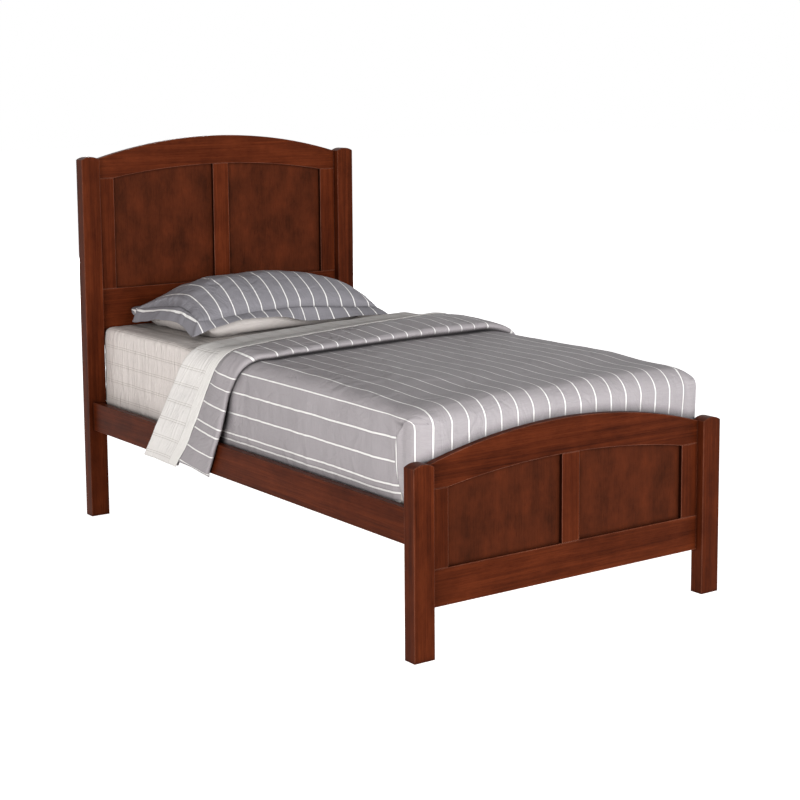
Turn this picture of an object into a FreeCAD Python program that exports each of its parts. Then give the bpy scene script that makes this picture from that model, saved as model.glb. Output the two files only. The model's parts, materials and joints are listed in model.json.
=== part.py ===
import FreeCAD, Part
import os
from math import cos, radians, sin, sqrt

# Twin panel bed, made up with its mattress and bedding.
# X runs across the bed, Y along it with the head at +Y and the foot at -Y, Z is up.
# The origin is on the floor, under the middle of the bed. All sizes are in millimetres.

# Posts
post_width = 68.0
post_depth = 46.0
head_post_shoulder = 1265.0   # height of a post where its domed top starts
foot_post_shoulder = 527.0
post_dome = 10.0
post_edge_radius = 2.0

# Headboard and footboard frames
frame_thickness = 21.0
stile_width = 64.0
arch_rise = 71.0
lower_arch_rise = 37.0
top_rail_end_height = 68.0
frame_edge_chamfer = 0.8
head_rail_top = 806.0
head_rail_height = 200.0
head_stretcher_height = 90.0
foot_rail_bottom = 134.0
foot_rail_height = 104.0
panel_thickness = 5.0
panel_recess = 12.0
panel_tongue = 8.0            # how far a panel reaches into its frame
panel_edge_gap = 0.6
panel_face_gap = 0.1

# Dowels
dowel_diameter = 8.0
dowel_length = 40.0
dowel_spacing = 60.0          # about one dowel to this much of a rail's height
dowel_margin = 18.0           # from a rail's edge to its nearest dowel
dowel_radial_gap = 0.1
dowel_end_gap = 0.5

# Side rails, ledgers and slats
side_rail_thickness = 24.0
side_rail_height = 100.0
side_rail_bottom = 310.0
side_rail_inset = 17.0        # from a post's outer face to the rail's outer face
side_rail_edge_radius = 2.0
ledger_width = 24.0
ledger_height = 18.0
ledger_end_gap = 30.0
slat_count = 12
slat_width = 64.0
slat_thickness = 18.0
slat_side_gap = 3.0
slat_end_margin = 80.0        # from a post to the middle of the nearest slat

# Hook plates on the rails' ends and slotted catch plates in the posts
plate_width = 16.0
plate_height = 88.0
plate_thickness = 2.5
plate_edge_gap = 0.2
hook_count = 2
hook_pitch = 38.0
hook_width = 3.0
hook_neck_height = 10.0
hook_tongue_thickness = 3.0
hook_drop = 7.0
hook_gap = 0.3                # between a hook's tongue and the back of the catch plate
slot_side_gap = 0.5
slot_lift_gap = 1.0
pocket_gap = 2.0

# Wood screws
screw_head_diameter = 7.0
screw_shank_diameter = 4.0
screw_head_height = 2.2
screw_sink = 0.2
screw_gap = 0.1
plate_screw_margin = 6.0
plate_screw_length = 28.0
ledger_screw_length = 36.0
slat_screw_length = 28.0

# Mattress and bedding
mattress_width = 976.0
mattress_length = 1905.0
mattress_height = 330.0
mattress_edge_radius = 45.0
mattress_corner_radius = 50.0
mattress_side_gap = 35.0      # to a side rail's inner face
mattress_head_gap = 13.5      # to the headboard's rails
foot_gap = 0.6                # between the comforter's foot drop and the footboard
soft_gap = 0.3
sheet_thickness = 2.0
fitted_sheet_hem = 12.0       # above the mattress's underside
comforter_thickness = 14.0
tuck_depth = 30.0             # how far the comforter goes down behind a side rail's top edge
fold_to_head = 593.0          # from the turned-back fold to the mattress's head, on the bed's centre line
fold_skew = 0.17              # how far each line runs toward the head for each mm to the right
sheet_band = 213.0            # from the fold to the turned-down sheet's hem
hem_skew = 0.17
border_length = 237.0         # from that hem to the puffed border's rounded edge
border_edge_skew = 0.05
folded_layer = 8.0            # the comforter's turned-back layer under the sheet
roll_thickness = 30.0         # the puffed border, on top of the bed
flap_roll_thickness = 20.0    # the same border where it hangs at the side
flap_below_rail_top = 115.0
flap_rail_gap = 2.5
flap_shoulder_drop = 60.0
left_flap_lean = 0.66         # how far a hanging flap runs toward the head for each mm down
right_flap_lean = 0.25
shoulder_steps = 3

# Pillow and its flanged sham
pillow_half_lengths = (0.0, 150.0, 270.0, 330.0, 350.0)   # from the middle to each section
pillow_depths = (430.0, 432.0, 440.0, 446.0, 450.0)       # along the bed, at each section
pillow_crowns = (156.0, 152.0, 128.0, 92.0, 34.0)         # above the seam, at each section
pillow_belly = 30.0           # from the seam down to the bed
pillow_x = -35.0
sham_head_gap = 6.5           # from the sham's flange to the headboard
sham_thickness = 1.8
sham_flange = 50.0
sham_flange_thickness = 3.0

# How far each layer's faces lie outside the mattress
fitted_inside = soft_gap
fitted_outside = fitted_inside + sheet_thickness
flat_inside = fitted_outside + soft_gap
flat_outside = flat_inside + sheet_thickness
comforter_inside = flat_outside + soft_gap
comforter_outside = comforter_inside + comforter_thickness

# The frame takes its width and length from the dressed mattress
rail_inner_x = mattress_width / 2 + mattress_side_gap
rail_outer_x = rail_inner_x + side_rail_thickness
rail_middle_x = (rail_inner_x + rail_outer_x) / 2
half_width = rail_outer_x + side_rail_inset
inner_half_width = half_width - post_width
room_for_mattress = mattress_head_gap + mattress_length + comforter_outside + foot_gap
half_length = (frame_thickness + room_for_mattress + post_depth) / 2
rail_end_y = half_length - post_depth
head_frame_front = half_length - frame_thickness
foot_frame_front = -rail_end_y - frame_thickness
rail_top = side_rail_bottom + side_rail_height
slat_bottom = side_rail_bottom + ledger_height
slat_top = slat_bottom + slat_thickness
mattress_top = slat_top + mattress_height
mattress_foot = foot_gap + comforter_outside - rail_end_y
mattress_head = mattress_foot + mattress_length
fold_y = mattress_head - fold_to_head
hem_y = fold_y - sheet_band
border_edge_y = hem_y - border_length
flap_bottom = rail_top - flap_below_rail_top

AXIS_X = FreeCAD.Vector(1, 0, 0)
AXIS_Y = FreeCAD.Vector(0, 1, 0)
AXIS_Z = FreeCAD.Vector(0, 0, 1)
SIDES = {"left": -1, "right": 1}
ENDS = {"foot": -1, "head": 1}
ON_PLANE = 1e-3               # an edge this near a plane, in millimetres, lies on it


def point(x, y, z):
    return FreeCAD.Vector(x, y, z)


def box(x_range, y_range, z_range):
    """A box between the two values of each range, in either order."""
    (x0, x1), (y0, y1), (z0, z1) = sorted(x_range), sorted(y_range), sorted(z_range)
    return Part.makeBox(x1 - x0, y1 - y0, z1 - z0, point(x0, y0, z0))


def around(middle, width):
    return (middle - width / 2, middle + width / 2)


def line(start, end):
    return Part.LineSegment(start, end).toShape()


def arc(start, middle, end):
    return Part.Arc(start, middle, end).toShape()


def extrude_y(edges, y, thickness):
    """A plate standing across the bed: its outline at y, its thickness toward the head."""
    face = Part.Face(Part.Wire(edges))
    face.translate(point(0, y, 0))
    return face.extrude(AXIS_Y * thickness)


def evenly(start, end, count):
    return [start + (end - start) * index / (count - 1) for index in range(count)]


def circle_radius(half_chord, rise):
    return (half_chord ** 2 + rise ** 2) / (2 * rise)


# Fasteners

def screw(head, direction, length, gap=0.0):
    """A countersunk screw with its head's flat at head, or with a gap its hole."""
    head_radius = screw_head_diameter / 2 + gap
    shank_radius = screw_shank_diameter / 2 + gap
    profile = [
        point(0, 0, 0),
        point(head_radius, 0, 0),
        point(shank_radius, 0, screw_head_height),
        point(shank_radius, 0, length + gap),
        point(0, 0, length + screw_shank_diameter / 2 + gap),
        point(0, 0, 0),
    ]
    solid = Part.Face(Part.makePolygon(profile)).revolve(point(0, 0, 0), AXIS_Z, 360)
    if gap:
        mouth = Part.makeCylinder(head_radius, screw_sink, point(0, 0, -screw_sink))
        solid = solid.fuse(mouth)
    solid.Placement = FreeCAD.Placement(head, FreeCAD.Rotation(AXIS_Z, direction))
    return solid


def dowel(middle, axis, radial_gap=0.0, end_gap=0.0):
    """A plain dowel, or with gaps the hole that takes it."""
    length = dowel_length + 2 * end_gap
    return Part.makeCylinder(
        dowel_diameter / 2 + radial_gap, length, middle - axis * (length / 2), axis
    )


def dowel_hole(middle, axis):
    return dowel(middle, axis, dowel_radial_gap, dowel_end_gap)


# Posts

def make_post(side, end):
    """A post with a domed top and eased edges, before any hole is made in it."""
    shoulder = head_post_shoulder if end > 0 else foot_post_shoulder
    outer = side * half_width
    inner = side * inner_half_width
    middle = (outer + inner) / 2
    outline = [
        line(point(outer, 0, 0), point(inner, 0, 0)),
        line(point(inner, 0, 0), point(inner, 0, shoulder)),
        arc(point(inner, 0, shoulder), point(middle, 0, shoulder + post_dome), point(outer, 0, shoulder)),
        line(point(outer, 0, shoulder), point(outer, 0, 0)),
    ]
    post = extrude_y(outline, min(end * rail_end_y, end * half_length), post_depth)
    eased = [edge for edge in post.Edges if edge.BoundBox.ZMax > post_edge_radius]
    return post.makeFillet(post_edge_radius, eased)


# Headboard and footboard: one frame of rails, stiles and two panels each

def arch_height(radius, centre_z, x):
    return centre_z + sqrt(radius ** 2 - x ** 2)


def opening_outline(x0, x1, bottom, radius, centre_z, grow):
    """The outline of one panel opening under the lower arch, grown by the same amount all round."""
    left, right, low, arch = x0 - grow, x1 + grow, bottom - grow, radius + grow
    middle = (left + right) / 2
    top_left = point(left, 0, arch_height(arch, centre_z, left))
    top_right = point(right, 0, arch_height(arch, centre_z, right))
    top_middle = point(middle, 0, arch_height(arch, centre_z, middle))
    return [
        line(point(left, 0, low), point(right, 0, low)),
        line(point(right, 0, low), top_right),
        arc(top_right, top_middle, top_left),
        line(top_left, point(left, 0, low)),
    ]


def chamfer_front(member, front):
    """Ease the edges of a frame member's show face."""
    edges = [
        edge for edge in member.Edges
        if max(abs(edge.BoundBox.YMin - front), abs(edge.BoundBox.YMax - front)) < ON_PLANE
    ]
    return member.makeChamfer(frame_edge_chamfer, edges)


def top_rail_outline(joint, opening_edge):
    """A top rail, arched above, and below arched between the outer stiles only."""
    end_top = joint + top_rail_end_height
    wide = inner_half_width
    return [
        line(point(-wide, 0, joint), point(-opening_edge, 0, joint)),
        arc(
            point(-opening_edge, 0, joint),
            point(0, 0, joint + lower_arch_rise),
            point(opening_edge, 0, joint),
        ),
        line(point(opening_edge, 0, joint), point(wide, 0, joint)),
        line(point(wide, 0, joint), point(wide, 0, end_top)),
        arc(point(wide, 0, end_top), point(0, 0, end_top + arch_rise), point(-wide, 0, end_top)),
        line(point(-wide, 0, end_top), point(-wide, 0, joint)),
    ]


def rail_dowels(bottom, height, y):
    """Where dowels join a rail of this height to both posts."""
    count = max(2, round(height / dowel_spacing))
    heights = evenly(bottom + dowel_margin, bottom + height - dowel_margin, count)
    return [(point(side * inner_half_width, y, z), AXIS_X) for side in SIDES.values() for z in heights]


def make_board(name, front, shoulder, rail_top_z, rail_height):
    """The rails, stiles and panels of one board, and where its dowels go."""
    middle_y = front + frame_thickness / 2
    joint = shoulder - top_rail_end_height
    opening_edge = inner_half_width - stile_width
    radius = circle_radius(opening_edge, lower_arch_rise)
    centre_z = joint + lower_arch_rise - radius
    half_stile = stile_width / 2

    def plate(edges):
        return chamfer_front(extrude_y(edges, front, frame_thickness), front)

    def stile(x0, x1, top, top_edge):
        return plate([
            line(point(x0, 0, rail_top_z), point(x1, 0, rail_top_z)),
            line(point(x1, 0, rail_top_z), point(x1, 0, top)),
            top_edge,
            line(point(x0, 0, top), point(x0, 0, rail_top_z)),
        ])

    def outer_stile(x0, x1):
        return stile(x0, x1, joint, line(point(x1, 0, joint), point(x0, 0, joint)))

    shoulder_z = arch_height(radius, centre_z, half_stile)
    under_arch = arc(
        point(half_stile, 0, shoulder_z),
        point(0, 0, joint + lower_arch_rise),
        point(-half_stile, 0, shoulder_z),
    )
    members = {
        f"{name}_top_rail": plate(top_rail_outline(joint, opening_edge)),
        f"{name}_bottom_rail": chamfer_front(
            box(
                (-inner_half_width, inner_half_width),
                (front, front + frame_thickness),
                (rail_top_z - rail_height, rail_top_z),
            ),
            front,
        ),
        f"{name}_stile_left": outer_stile(-inner_half_width, -opening_edge),
        f"{name}_stile_centre": stile(-half_stile, half_stile, shoulder_z, under_arch),
        f"{name}_stile_right": outer_stile(opening_edge, inner_half_width),
    }

    panels = {}
    openings = {"left": (-opening_edge, -half_stile), "right": (half_stile, opening_edge)}
    for side, (x0, x1) in openings.items():
        outline = opening_outline(x0, x1, rail_top_z, radius, centre_z, panel_tongue)
        groove_outline = opening_outline(x0, x1, rail_top_z, radius, centre_z, panel_tongue + panel_edge_gap)
        panels[f"{name}_panel_{side}"] = extrude_y(outline, front + panel_recess, panel_thickness)
        groove = extrude_y(
            groove_outline,
            front + panel_recess - panel_face_gap,
            panel_thickness + 2 * panel_face_gap,
        )
        members = {key: solid.cut(groove) for key, solid in members.items()}

    dowels = rail_dowels(joint, top_rail_end_height, middle_y)
    dowels += rail_dowels(rail_top_z - rail_height, rail_height, middle_y)
    stile_middle = inner_half_width - half_stile
    for x, top in ((-stile_middle, joint), (0.0, joint + lower_arch_rise), (stile_middle, joint)):
        dowels += [(point(x, middle_y, rail_top_z), AXIS_Z), (point(x, middle_y, top), AXIS_Z)]
    return members, panels, dowels


# Side rails and what they carry

def make_side_rail(side):
    rail = box(
        (side * rail_outer_x, side * rail_inner_x),
        (-rail_end_y, rail_end_y),
        (side_rail_bottom, rail_top),
    )
    long_edges = [edge for edge in rail.Edges if edge.BoundBox.YLength > side_rail_thickness * 2]
    return rail.makeFillet(side_rail_edge_radius, long_edges)


def make_ledger(side):
    return box(
        (side * rail_inner_x, side * (rail_inner_x - ledger_width)),
        (ledger_end_gap - rail_end_y, rail_end_y - ledger_end_gap),
        (side_rail_bottom, slat_bottom),
    )


def slat_places():
    return evenly(slat_end_margin - rail_end_y, rail_end_y - slat_end_margin, slat_count)


def make_slat(y):
    reach = rail_inner_x - slat_side_gap
    return box((-reach, reach), around(y, slat_width), (slat_bottom, slat_top))


def slat_screws(gap=0.0):
    x = rail_inner_x - ledger_width / 2
    return [
        screw(point(side * x, y, slat_top - screw_sink), -AXIS_Z, slat_screw_length, gap)
        for side in SIDES.values() for y in slat_places()
    ]


def ledger_screws(side, gap=0.0):
    """Screws through one ledger, midway between slats so that they miss the slat screws."""
    places = slat_places()
    head_x = side * (rail_inner_x - ledger_width + screw_sink)
    height = side_rail_bottom + ledger_height / 2
    return [
        screw(point(head_x, (y + following) / 2, height), AXIS_X * side, ledger_screw_length, gap)
        for y, following in zip(places[::2], places[1::2])
    ]


# Rail hooks: a hooked plate on each rail end drops into a slotted plate in the post

plate_z = side_rail_bottom + side_rail_height / 2
slot_height = hook_neck_height + hook_drop + slot_lift_gap


def hook_bottoms():
    """The underside of each hook's neck, which is also the bottom of its slot."""
    middle = plate_z - slot_height / 2
    offset = hook_pitch * (hook_count - 1) / 2
    return evenly(middle - offset, middle + offset, hook_count)


def past_joint(end, near, far):
    """A range along Y, measured from the rail's end into the post."""
    return (end * (rail_end_y + near), end * (rail_end_y + far))


def make_hook_plate(side, end):
    x = side * rail_middle_x
    plate = box(around(x, plate_width), past_joint(end, -plate_thickness, 0), around(plate_z, plate_height))
    tongue_near = plate_thickness + hook_gap
    tongue_far = tongue_near + hook_tongue_thickness
    for bottom in hook_bottoms():
        top = bottom + hook_neck_height
        neck = box(around(x, hook_width), past_joint(end, 0, tongue_near), (bottom, top))
        tongue = box(around(x, hook_width), past_joint(end, tongue_near, tongue_far), (bottom - hook_drop, top))
        plate = plate.fuse([neck, tongue])
    return plate.removeSplitter()


def make_catch_plate(side, end):
    x = side * rail_middle_x
    plate = box(around(x, plate_width), past_joint(end, 0, plate_thickness), around(plate_z, plate_height))
    for bottom in hook_bottoms():
        slot = box(
            around(x, hook_width + 2 * slot_side_gap),
            past_joint(end, 0, plate_thickness),
            (bottom, bottom + slot_height),
        )
        plate = plate.cut(slot)
    return plate


def plate_recess(side, end, near, far):
    return box(
        around(side * rail_middle_x, plate_width + 2 * plate_edge_gap),
        past_joint(end, near, far),
        around(plate_z, plate_height + 2 * plate_edge_gap),
    )


def hook_pocket(side, end):
    """The room in the post behind the catch plate for both hooks."""
    bottoms = hook_bottoms()
    deep = plate_thickness + hook_gap + hook_tongue_thickness + pocket_gap
    return box(
        around(side * rail_middle_x, hook_width + 2 * (slot_side_gap + pocket_gap)),
        past_joint(end, plate_thickness, deep),
        (bottoms[0] - hook_drop - pocket_gap, bottoms[-1] + slot_height + pocket_gap),
    )


def plate_screws(side, end, into_post, gap=0.0):
    """The two screws of a catch plate, or of a hook plate where they go into the rail."""
    toward = end if into_post else -end
    y = end * rail_end_y + toward * screw_sink
    reach = plate_height / 2 - plate_screw_margin
    return [
        screw(point(side * rail_middle_x, y, plate_z + z), AXIS_Y * toward, plate_screw_length, gap)
        for z in (-reach, reach)
    ]


# Mattress, sheets and comforter: nested layers round the mattress

def mattress_block(grow, bottom):
    """The mattress's form with every face moved out by grow, standing on bottom."""
    side = mattress_width / 2 + grow
    top = mattress_top + grow
    block = box((-side, side), (mattress_foot - grow, mattress_head + grow), (bottom, top))
    upright = [edge for edge in block.Edges if edge.BoundBox.ZLength > mattress_edge_radius]
    block = block.makeFillet(mattress_corner_radius + grow, upright)
    rim = [edge for edge in block.Edges if edge.BoundBox.ZMin > top - ON_PLANE]
    return block.makeFillet(mattress_edge_radius + grow, rim)


def draped_layer(inside, outside, bottom):
    """A layer over the mattress's top and sides, open below."""
    return mattress_block(outside, bottom).cut(mattress_block(inside, bottom - outside))


def across(middle, skew, x):
    """Where a line that crosses the bed is, at x."""
    return middle + skew * x


def foot_side_of_fold(beyond):
    """Everything on the foot side of the fold line, or that far past it."""
    wide = 2 * half_width
    past_foot = -2 * half_length
    corners = [
        point(-wide, past_foot, 0),
        point(wide, past_foot, 0),
        point(wide, across(fold_y, fold_skew, wide) + beyond, 0),
        point(-wide, across(fold_y, fold_skew, -wide) + beyond, 0),
        point(-wide, past_foot, 0),
    ]
    return Part.Face(Part.makePolygon(corners)).extrude(AXIS_Z * head_post_shoulder)


def drape_stations():
    """Points along the comforter's outer face, from the left flap's hem over the bed to the right one's.

    Each has its place in X and Z, the outward direction, how far the flap has swung toward the head,
    and the border's thickness."""
    shoulder_radius = mattress_edge_radius + comforter_outside
    centre_x = mattress_width / 2 - mattress_edge_radius
    centre_z = mattress_top - mattress_edge_radius
    crest = mattress_top + comforter_outside
    outside_rail = rail_outer_x + flap_rail_gap
    stations = []
    for side, lean in ((-1, left_flap_lean), (1, right_flap_lean)):
        half = [
            (outside_rail, flap_bottom, 1.0, 0.0, flap_roll_thickness),
            (outside_rail, rail_top + flap_rail_gap, 1.0, 0.0, flap_roll_thickness),
            (centre_x + shoulder_radius, centre_z - flap_shoulder_drop, 1.0, 0.0, flap_roll_thickness),
        ]
        for step in range(shoulder_steps + 1):
            angle = radians(90.0 * step / shoulder_steps)
            thickness = flap_roll_thickness + (roll_thickness - flap_roll_thickness) * sin(angle)
            half.append((
                centre_x + shoulder_radius * cos(angle),
                centre_z + shoulder_radius * sin(angle),
                cos(angle),
                sin(angle),
                thickness,
            ))
        half = [(side * x, z, side * nx, nz, lean * (crest - z), thick) for x, z, nx, nz, thick in half]
        stations += half if side < 0 else half[::-1]
    return stations


def station_wire(station, profile):
    """One closed section of a turned-back layer: profile gives its points as (y, height off the face)."""
    x, z, nx, nz, swing, thickness = station
    lines_x = max(-mattress_width / 2, min(mattress_width / 2, x))
    corners = [
        point(x + nx * height, y + swing, z + nz * height) for y, height in profile(lines_x, thickness)
    ]
    return Part.makePolygon(corners + corners[:1])


def border_profile(x, thickness):
    """The turned-back comforter: a thin layer to the hem line, then a puffed, rounded border."""
    fold = across(fold_y, fold_skew, x)
    hem = across(hem_y, hem_skew, x)
    front = across(border_edge_y, border_edge_skew, x)
    swell = thickness / 2
    return [
        (fold, 0.0),
        (fold, folded_layer),
        (hem, folded_layer),
        (hem - swell, thickness - swell / 3),
        ((hem + front) / 2, thickness),
        (front + swell, thickness - swell / 3),
        (front + swell / 4, swell),
        (front + swell / 4, swell / 3),
        (front + swell, 0.0),
    ]


def turned_sheet_profile(x, _thickness):
    """The flat sheet's turned-down layer, over the comforter's thin layer."""
    fold = across(fold_y, fold_skew, x) + soft_gap + sheet_thickness
    hem = across(hem_y, hem_skew, x) + soft_gap
    low = folded_layer + soft_gap
    return [(fold, low), (fold, low + sheet_thickness), (hem, low + sheet_thickness), (hem, low)]


def turned_layer(profile):
    wires = [station_wire(station, profile) for station in drape_stations()]
    return Part.makeLoft(wires, True, True)


def make_comforter():
    body = draped_layer(comforter_inside, comforter_outside, rail_top - tuck_depth)
    body = body.common(foot_side_of_fold(0.0))
    return body.fuse(turned_layer(border_profile)).removeSplitter()


def make_flat_sheet():
    """The sheet under the comforter, round its fold and down over it as a band."""
    under = draped_layer(flat_inside, flat_outside, rail_top - tuck_depth)
    under = under.common(foot_side_of_fold(soft_gap + sheet_thickness))
    flat_half = mattress_width / 2 - mattress_edge_radius
    near, far = soft_gap, soft_gap + sheet_thickness
    strip = [
        point(-flat_half, across(fold_y, fold_skew, -flat_half) + near, 0),
        point(flat_half, across(fold_y, fold_skew, flat_half) + near, 0),
        point(flat_half, across(fold_y, fold_skew, flat_half) + far, 0),
        point(-flat_half, across(fold_y, fold_skew, -flat_half) + far, 0),
    ]
    low = mattress_top + flat_inside
    high = mattress_top + comforter_outside + folded_layer + soft_gap + sheet_thickness
    turn = Part.Face(Part.makePolygon(strip + strip[:1])).extrude(AXIS_Z * (high - low))
    turn.translate(AXIS_Z * low)
    return under.fuse([turn, turned_layer(turned_sheet_profile)]).removeSplitter()


# Pillow: a crowned form with drawn-in sides, lofted along its length

pillow_base = mattress_top + fitted_outside + soft_gap
pillow_seam_z = pillow_base + pillow_belly
pillow_y = head_frame_front - sham_head_gap - sham_flange - pillow_depths[-1] / 2


def pillow_section(along, depth, crown, grow):
    x = pillow_x + along
    half_depth = depth / 2 + grow
    front = point(x, pillow_y - half_depth, pillow_seam_z)
    back = point(x, pillow_y + half_depth, pillow_seam_z)
    belly = pillow_belly * crown / pillow_crowns[0] + sham_flange_thickness
    return Part.Wire([
        arc(front, point(x, pillow_y, pillow_seam_z + crown + grow), back),
        arc(back, point(x, pillow_y, pillow_seam_z - belly - grow), front),
    ])


def pillow_form(grow, bottom):
    """The pillow's form with its face moved out by grow, cut flat where it lies on the bed."""
    half = list(zip(pillow_half_lengths, pillow_depths, pillow_crowns))
    stations = [(-x, depth, crown) for x, depth, crown in half[:0:-1]] + half
    tip = pillow_half_lengths[-1]
    sections = [
        pillow_section(x * (tip + grow) / tip, depth, crown, grow) for x, depth, crown in stations
    ]
    form = Part.makeLoft(sections, True, False)
    return form.cut(box((-half_width, half_width), (0, half_length), (0, bottom)))


def make_sham():
    """The sham: a skin round the pillow, with a flat flange along its seam."""
    cavity = pillow_form(soft_gap, pillow_base + sham_thickness)
    skin = pillow_form(soft_gap + sham_thickness, pillow_base)
    length = 2 * (pillow_half_lengths[-1] + sham_flange)
    depth = pillow_depths[-1] + 2 * sham_flange
    flange = box(
        around(pillow_x, length),
        around(pillow_y, depth),
        around(pillow_seam_z, sham_flange_thickness),
    )
    return skin.fuse(flange).cut(cavity).removeSplitter()


# Assembly

def build():
    nodes = {}
    foot_rail_top = foot_rail_bottom + foot_rail_height
    boards = {
        "head": make_board("headboard", head_frame_front, head_post_shoulder, head_rail_top, head_rail_height),
        "foot": make_board("footboard", foot_frame_front, foot_post_shoulder, foot_rail_top, foot_rail_height),
    }
    head_members, _, head_dowels = boards["head"]
    stretcher_y = (head_frame_front, head_frame_front + frame_thickness)
    head_members["headboard_stretcher"] = chamfer_front(
        box(
            (-inner_half_width, inner_half_width),
            stretcher_y,
            (side_rail_bottom, side_rail_bottom + head_stretcher_height),
        ),
        head_frame_front,
    )
    head_dowels += rail_dowels(side_rail_bottom, head_stretcher_height, sum(stretcher_y) / 2)

    for end_name, end in ENDS.items():
        members, panels, dowels = boards[end_name]
        holes = Part.makeCompound([dowel_hole(*place) for place in dowels])
        for name, solid in members.items():
            nodes[name] = solid.cut(holes)
        nodes.update(panels)
        nodes[f"{end_name}board_dowels"] = Part.makeCompound([dowel(*place) for place in dowels])
        for side_name, side in SIDES.items():
            cuts = [
                holes,
                plate_recess(side, end, 0, plate_thickness),
                hook_pocket(side, end),
                *plate_screws(side, end, True, screw_gap),
            ]
            nodes[f"{end_name}board_post_{side_name}"] = make_post(side, end).cut(cuts)

    slat_holes = slat_screws(screw_gap)
    plate_screw_solids = []
    ledger_screw_solids = []
    for side_name, side in SIDES.items():
        ledger_holes = ledger_screws(side, screw_gap)
        rail = make_side_rail(side).cut(ledger_holes)
        for end_name, end in ENDS.items():
            corner = f"{end_name}_{side_name}"
            rail_holes = plate_screws(side, end, False, screw_gap)
            rail = rail.cut([plate_recess(side, end, -plate_thickness, 0), *rail_holes])
            post_holes = plate_screws(side, end, True, screw_gap)
            nodes[f"hook_plate_{corner}"] = make_hook_plate(side, end).cut(rail_holes)
            nodes[f"catch_plate_{corner}"] = make_catch_plate(side, end).cut(post_holes)
            plate_screw_solids += plate_screws(side, end, True) + plate_screws(side, end, False)
        nodes[f"side_rail_{side_name}"] = rail
        nodes[f"slat_ledger_{side_name}"] = make_ledger(side).cut(ledger_holes + slat_holes)
        ledger_screw_solids += ledger_screws(side)
    for number, y in enumerate(slat_places(), start=1):
        nodes[f"slat_{number:02d}"] = make_slat(y).cut(slat_holes)
    nodes["plate_screws"] = Part.makeCompound(plate_screw_solids)
    nodes["ledger_screws"] = Part.makeCompound(ledger_screw_solids)
    nodes["slat_screws"] = Part.makeCompound(slat_screws())

    nodes["mattress"] = mattress_block(0.0, slat_top)
    nodes["fitted_sheet"] = draped_layer(fitted_inside, fitted_outside, slat_top + fitted_sheet_hem)
    nodes["flat_sheet"] = make_flat_sheet()
    nodes["comforter"] = make_comforter()
    nodes["pillow"] = pillow_form(0.0, pillow_base + sham_thickness + soft_gap)
    nodes["pillow_sham"] = make_sham()
    return nodes


os.makedirs("parts", exist_ok=True)
for node_name, node_shape in build().items():
    node_shape.exportStep(f"parts/{node_name}.step")
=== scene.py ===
import json
import math

import bmesh
import bpy
import numpy as np
from mathutils import Matrix, Vector


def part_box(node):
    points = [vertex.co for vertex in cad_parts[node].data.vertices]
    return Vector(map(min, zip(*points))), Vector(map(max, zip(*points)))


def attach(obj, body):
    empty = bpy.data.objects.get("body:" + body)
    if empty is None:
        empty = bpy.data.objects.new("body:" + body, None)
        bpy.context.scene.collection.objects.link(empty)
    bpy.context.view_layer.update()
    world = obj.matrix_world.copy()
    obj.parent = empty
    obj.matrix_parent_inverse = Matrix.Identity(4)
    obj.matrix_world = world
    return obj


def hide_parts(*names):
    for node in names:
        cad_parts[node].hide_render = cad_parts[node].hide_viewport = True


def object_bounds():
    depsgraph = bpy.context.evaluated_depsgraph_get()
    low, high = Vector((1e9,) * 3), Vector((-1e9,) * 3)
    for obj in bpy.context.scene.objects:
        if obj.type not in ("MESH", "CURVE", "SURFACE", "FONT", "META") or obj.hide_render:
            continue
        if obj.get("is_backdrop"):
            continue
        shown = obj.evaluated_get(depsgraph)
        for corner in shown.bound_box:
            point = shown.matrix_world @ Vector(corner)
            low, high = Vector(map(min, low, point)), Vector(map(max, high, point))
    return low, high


# A twin panel bed, dressed. Metres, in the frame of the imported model: +Y is the head, +Z is up.

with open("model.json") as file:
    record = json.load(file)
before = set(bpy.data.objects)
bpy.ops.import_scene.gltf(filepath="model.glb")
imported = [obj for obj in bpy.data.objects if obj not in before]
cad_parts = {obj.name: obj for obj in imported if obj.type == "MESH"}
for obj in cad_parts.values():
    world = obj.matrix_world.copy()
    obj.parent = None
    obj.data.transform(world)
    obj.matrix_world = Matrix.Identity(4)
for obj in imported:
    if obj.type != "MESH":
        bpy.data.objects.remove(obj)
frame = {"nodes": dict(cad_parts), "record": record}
CAD_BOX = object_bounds()
NODES = frame["nodes"]

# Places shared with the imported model
RAIL_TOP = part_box("side_rail_left")[1].z
RAIL_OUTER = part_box("side_rail_right")[1].x
MATTRESS_LOW, MATTRESS_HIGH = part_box("mattress")
EDGE_ROUND = 0.045                    # radius of the mattress's edges
FLAT_X = MATTRESS_HIGH.x - EDGE_ROUND # where the mattress's top starts to round over, each side
ROUND_Z = MATTRESS_HIGH.z - EDGE_ROUND
FOOT_Y = MATTRESS_LOW.y + EDGE_ROUND
HEAD_Y = MATTRESS_HIGH.y - EDGE_ROUND
COVER = 0.0639                        # radius of the comforter's outer face over the mattress's edge
CREST = ROUND_Z + COVER
SIDE_X = FLAT_X + COVER
QUARTER = math.pi / 2


# ---------------------------------------------------------------- numbers

def limit(x):
    """Keeps x from 0 to 1."""
    return np.clip(x, 0.0, 1.0)


def smooth(low, high, x):
    """0 at low, 1 at high, and an even curve between."""
    t = limit((np.asarray(x, float) - low) / (high - low))
    return t * t * (3.0 - 2.0 * t)


def lattice(ix, iy, seed):
    """Repeatable values from -1 to 1 on whole-number points."""
    n = (ix.astype(np.int64) * 374761393 + iy.astype(np.int64) * 668265263 + seed * 974634777) & 0xFFFFFFFF
    n = ((n ^ (n >> 13)) * 1274126177) & 0xFFFFFFFF
    return ((n ^ (n >> 16)) & 0xFFFF) / 32767.5 - 1.0


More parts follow.
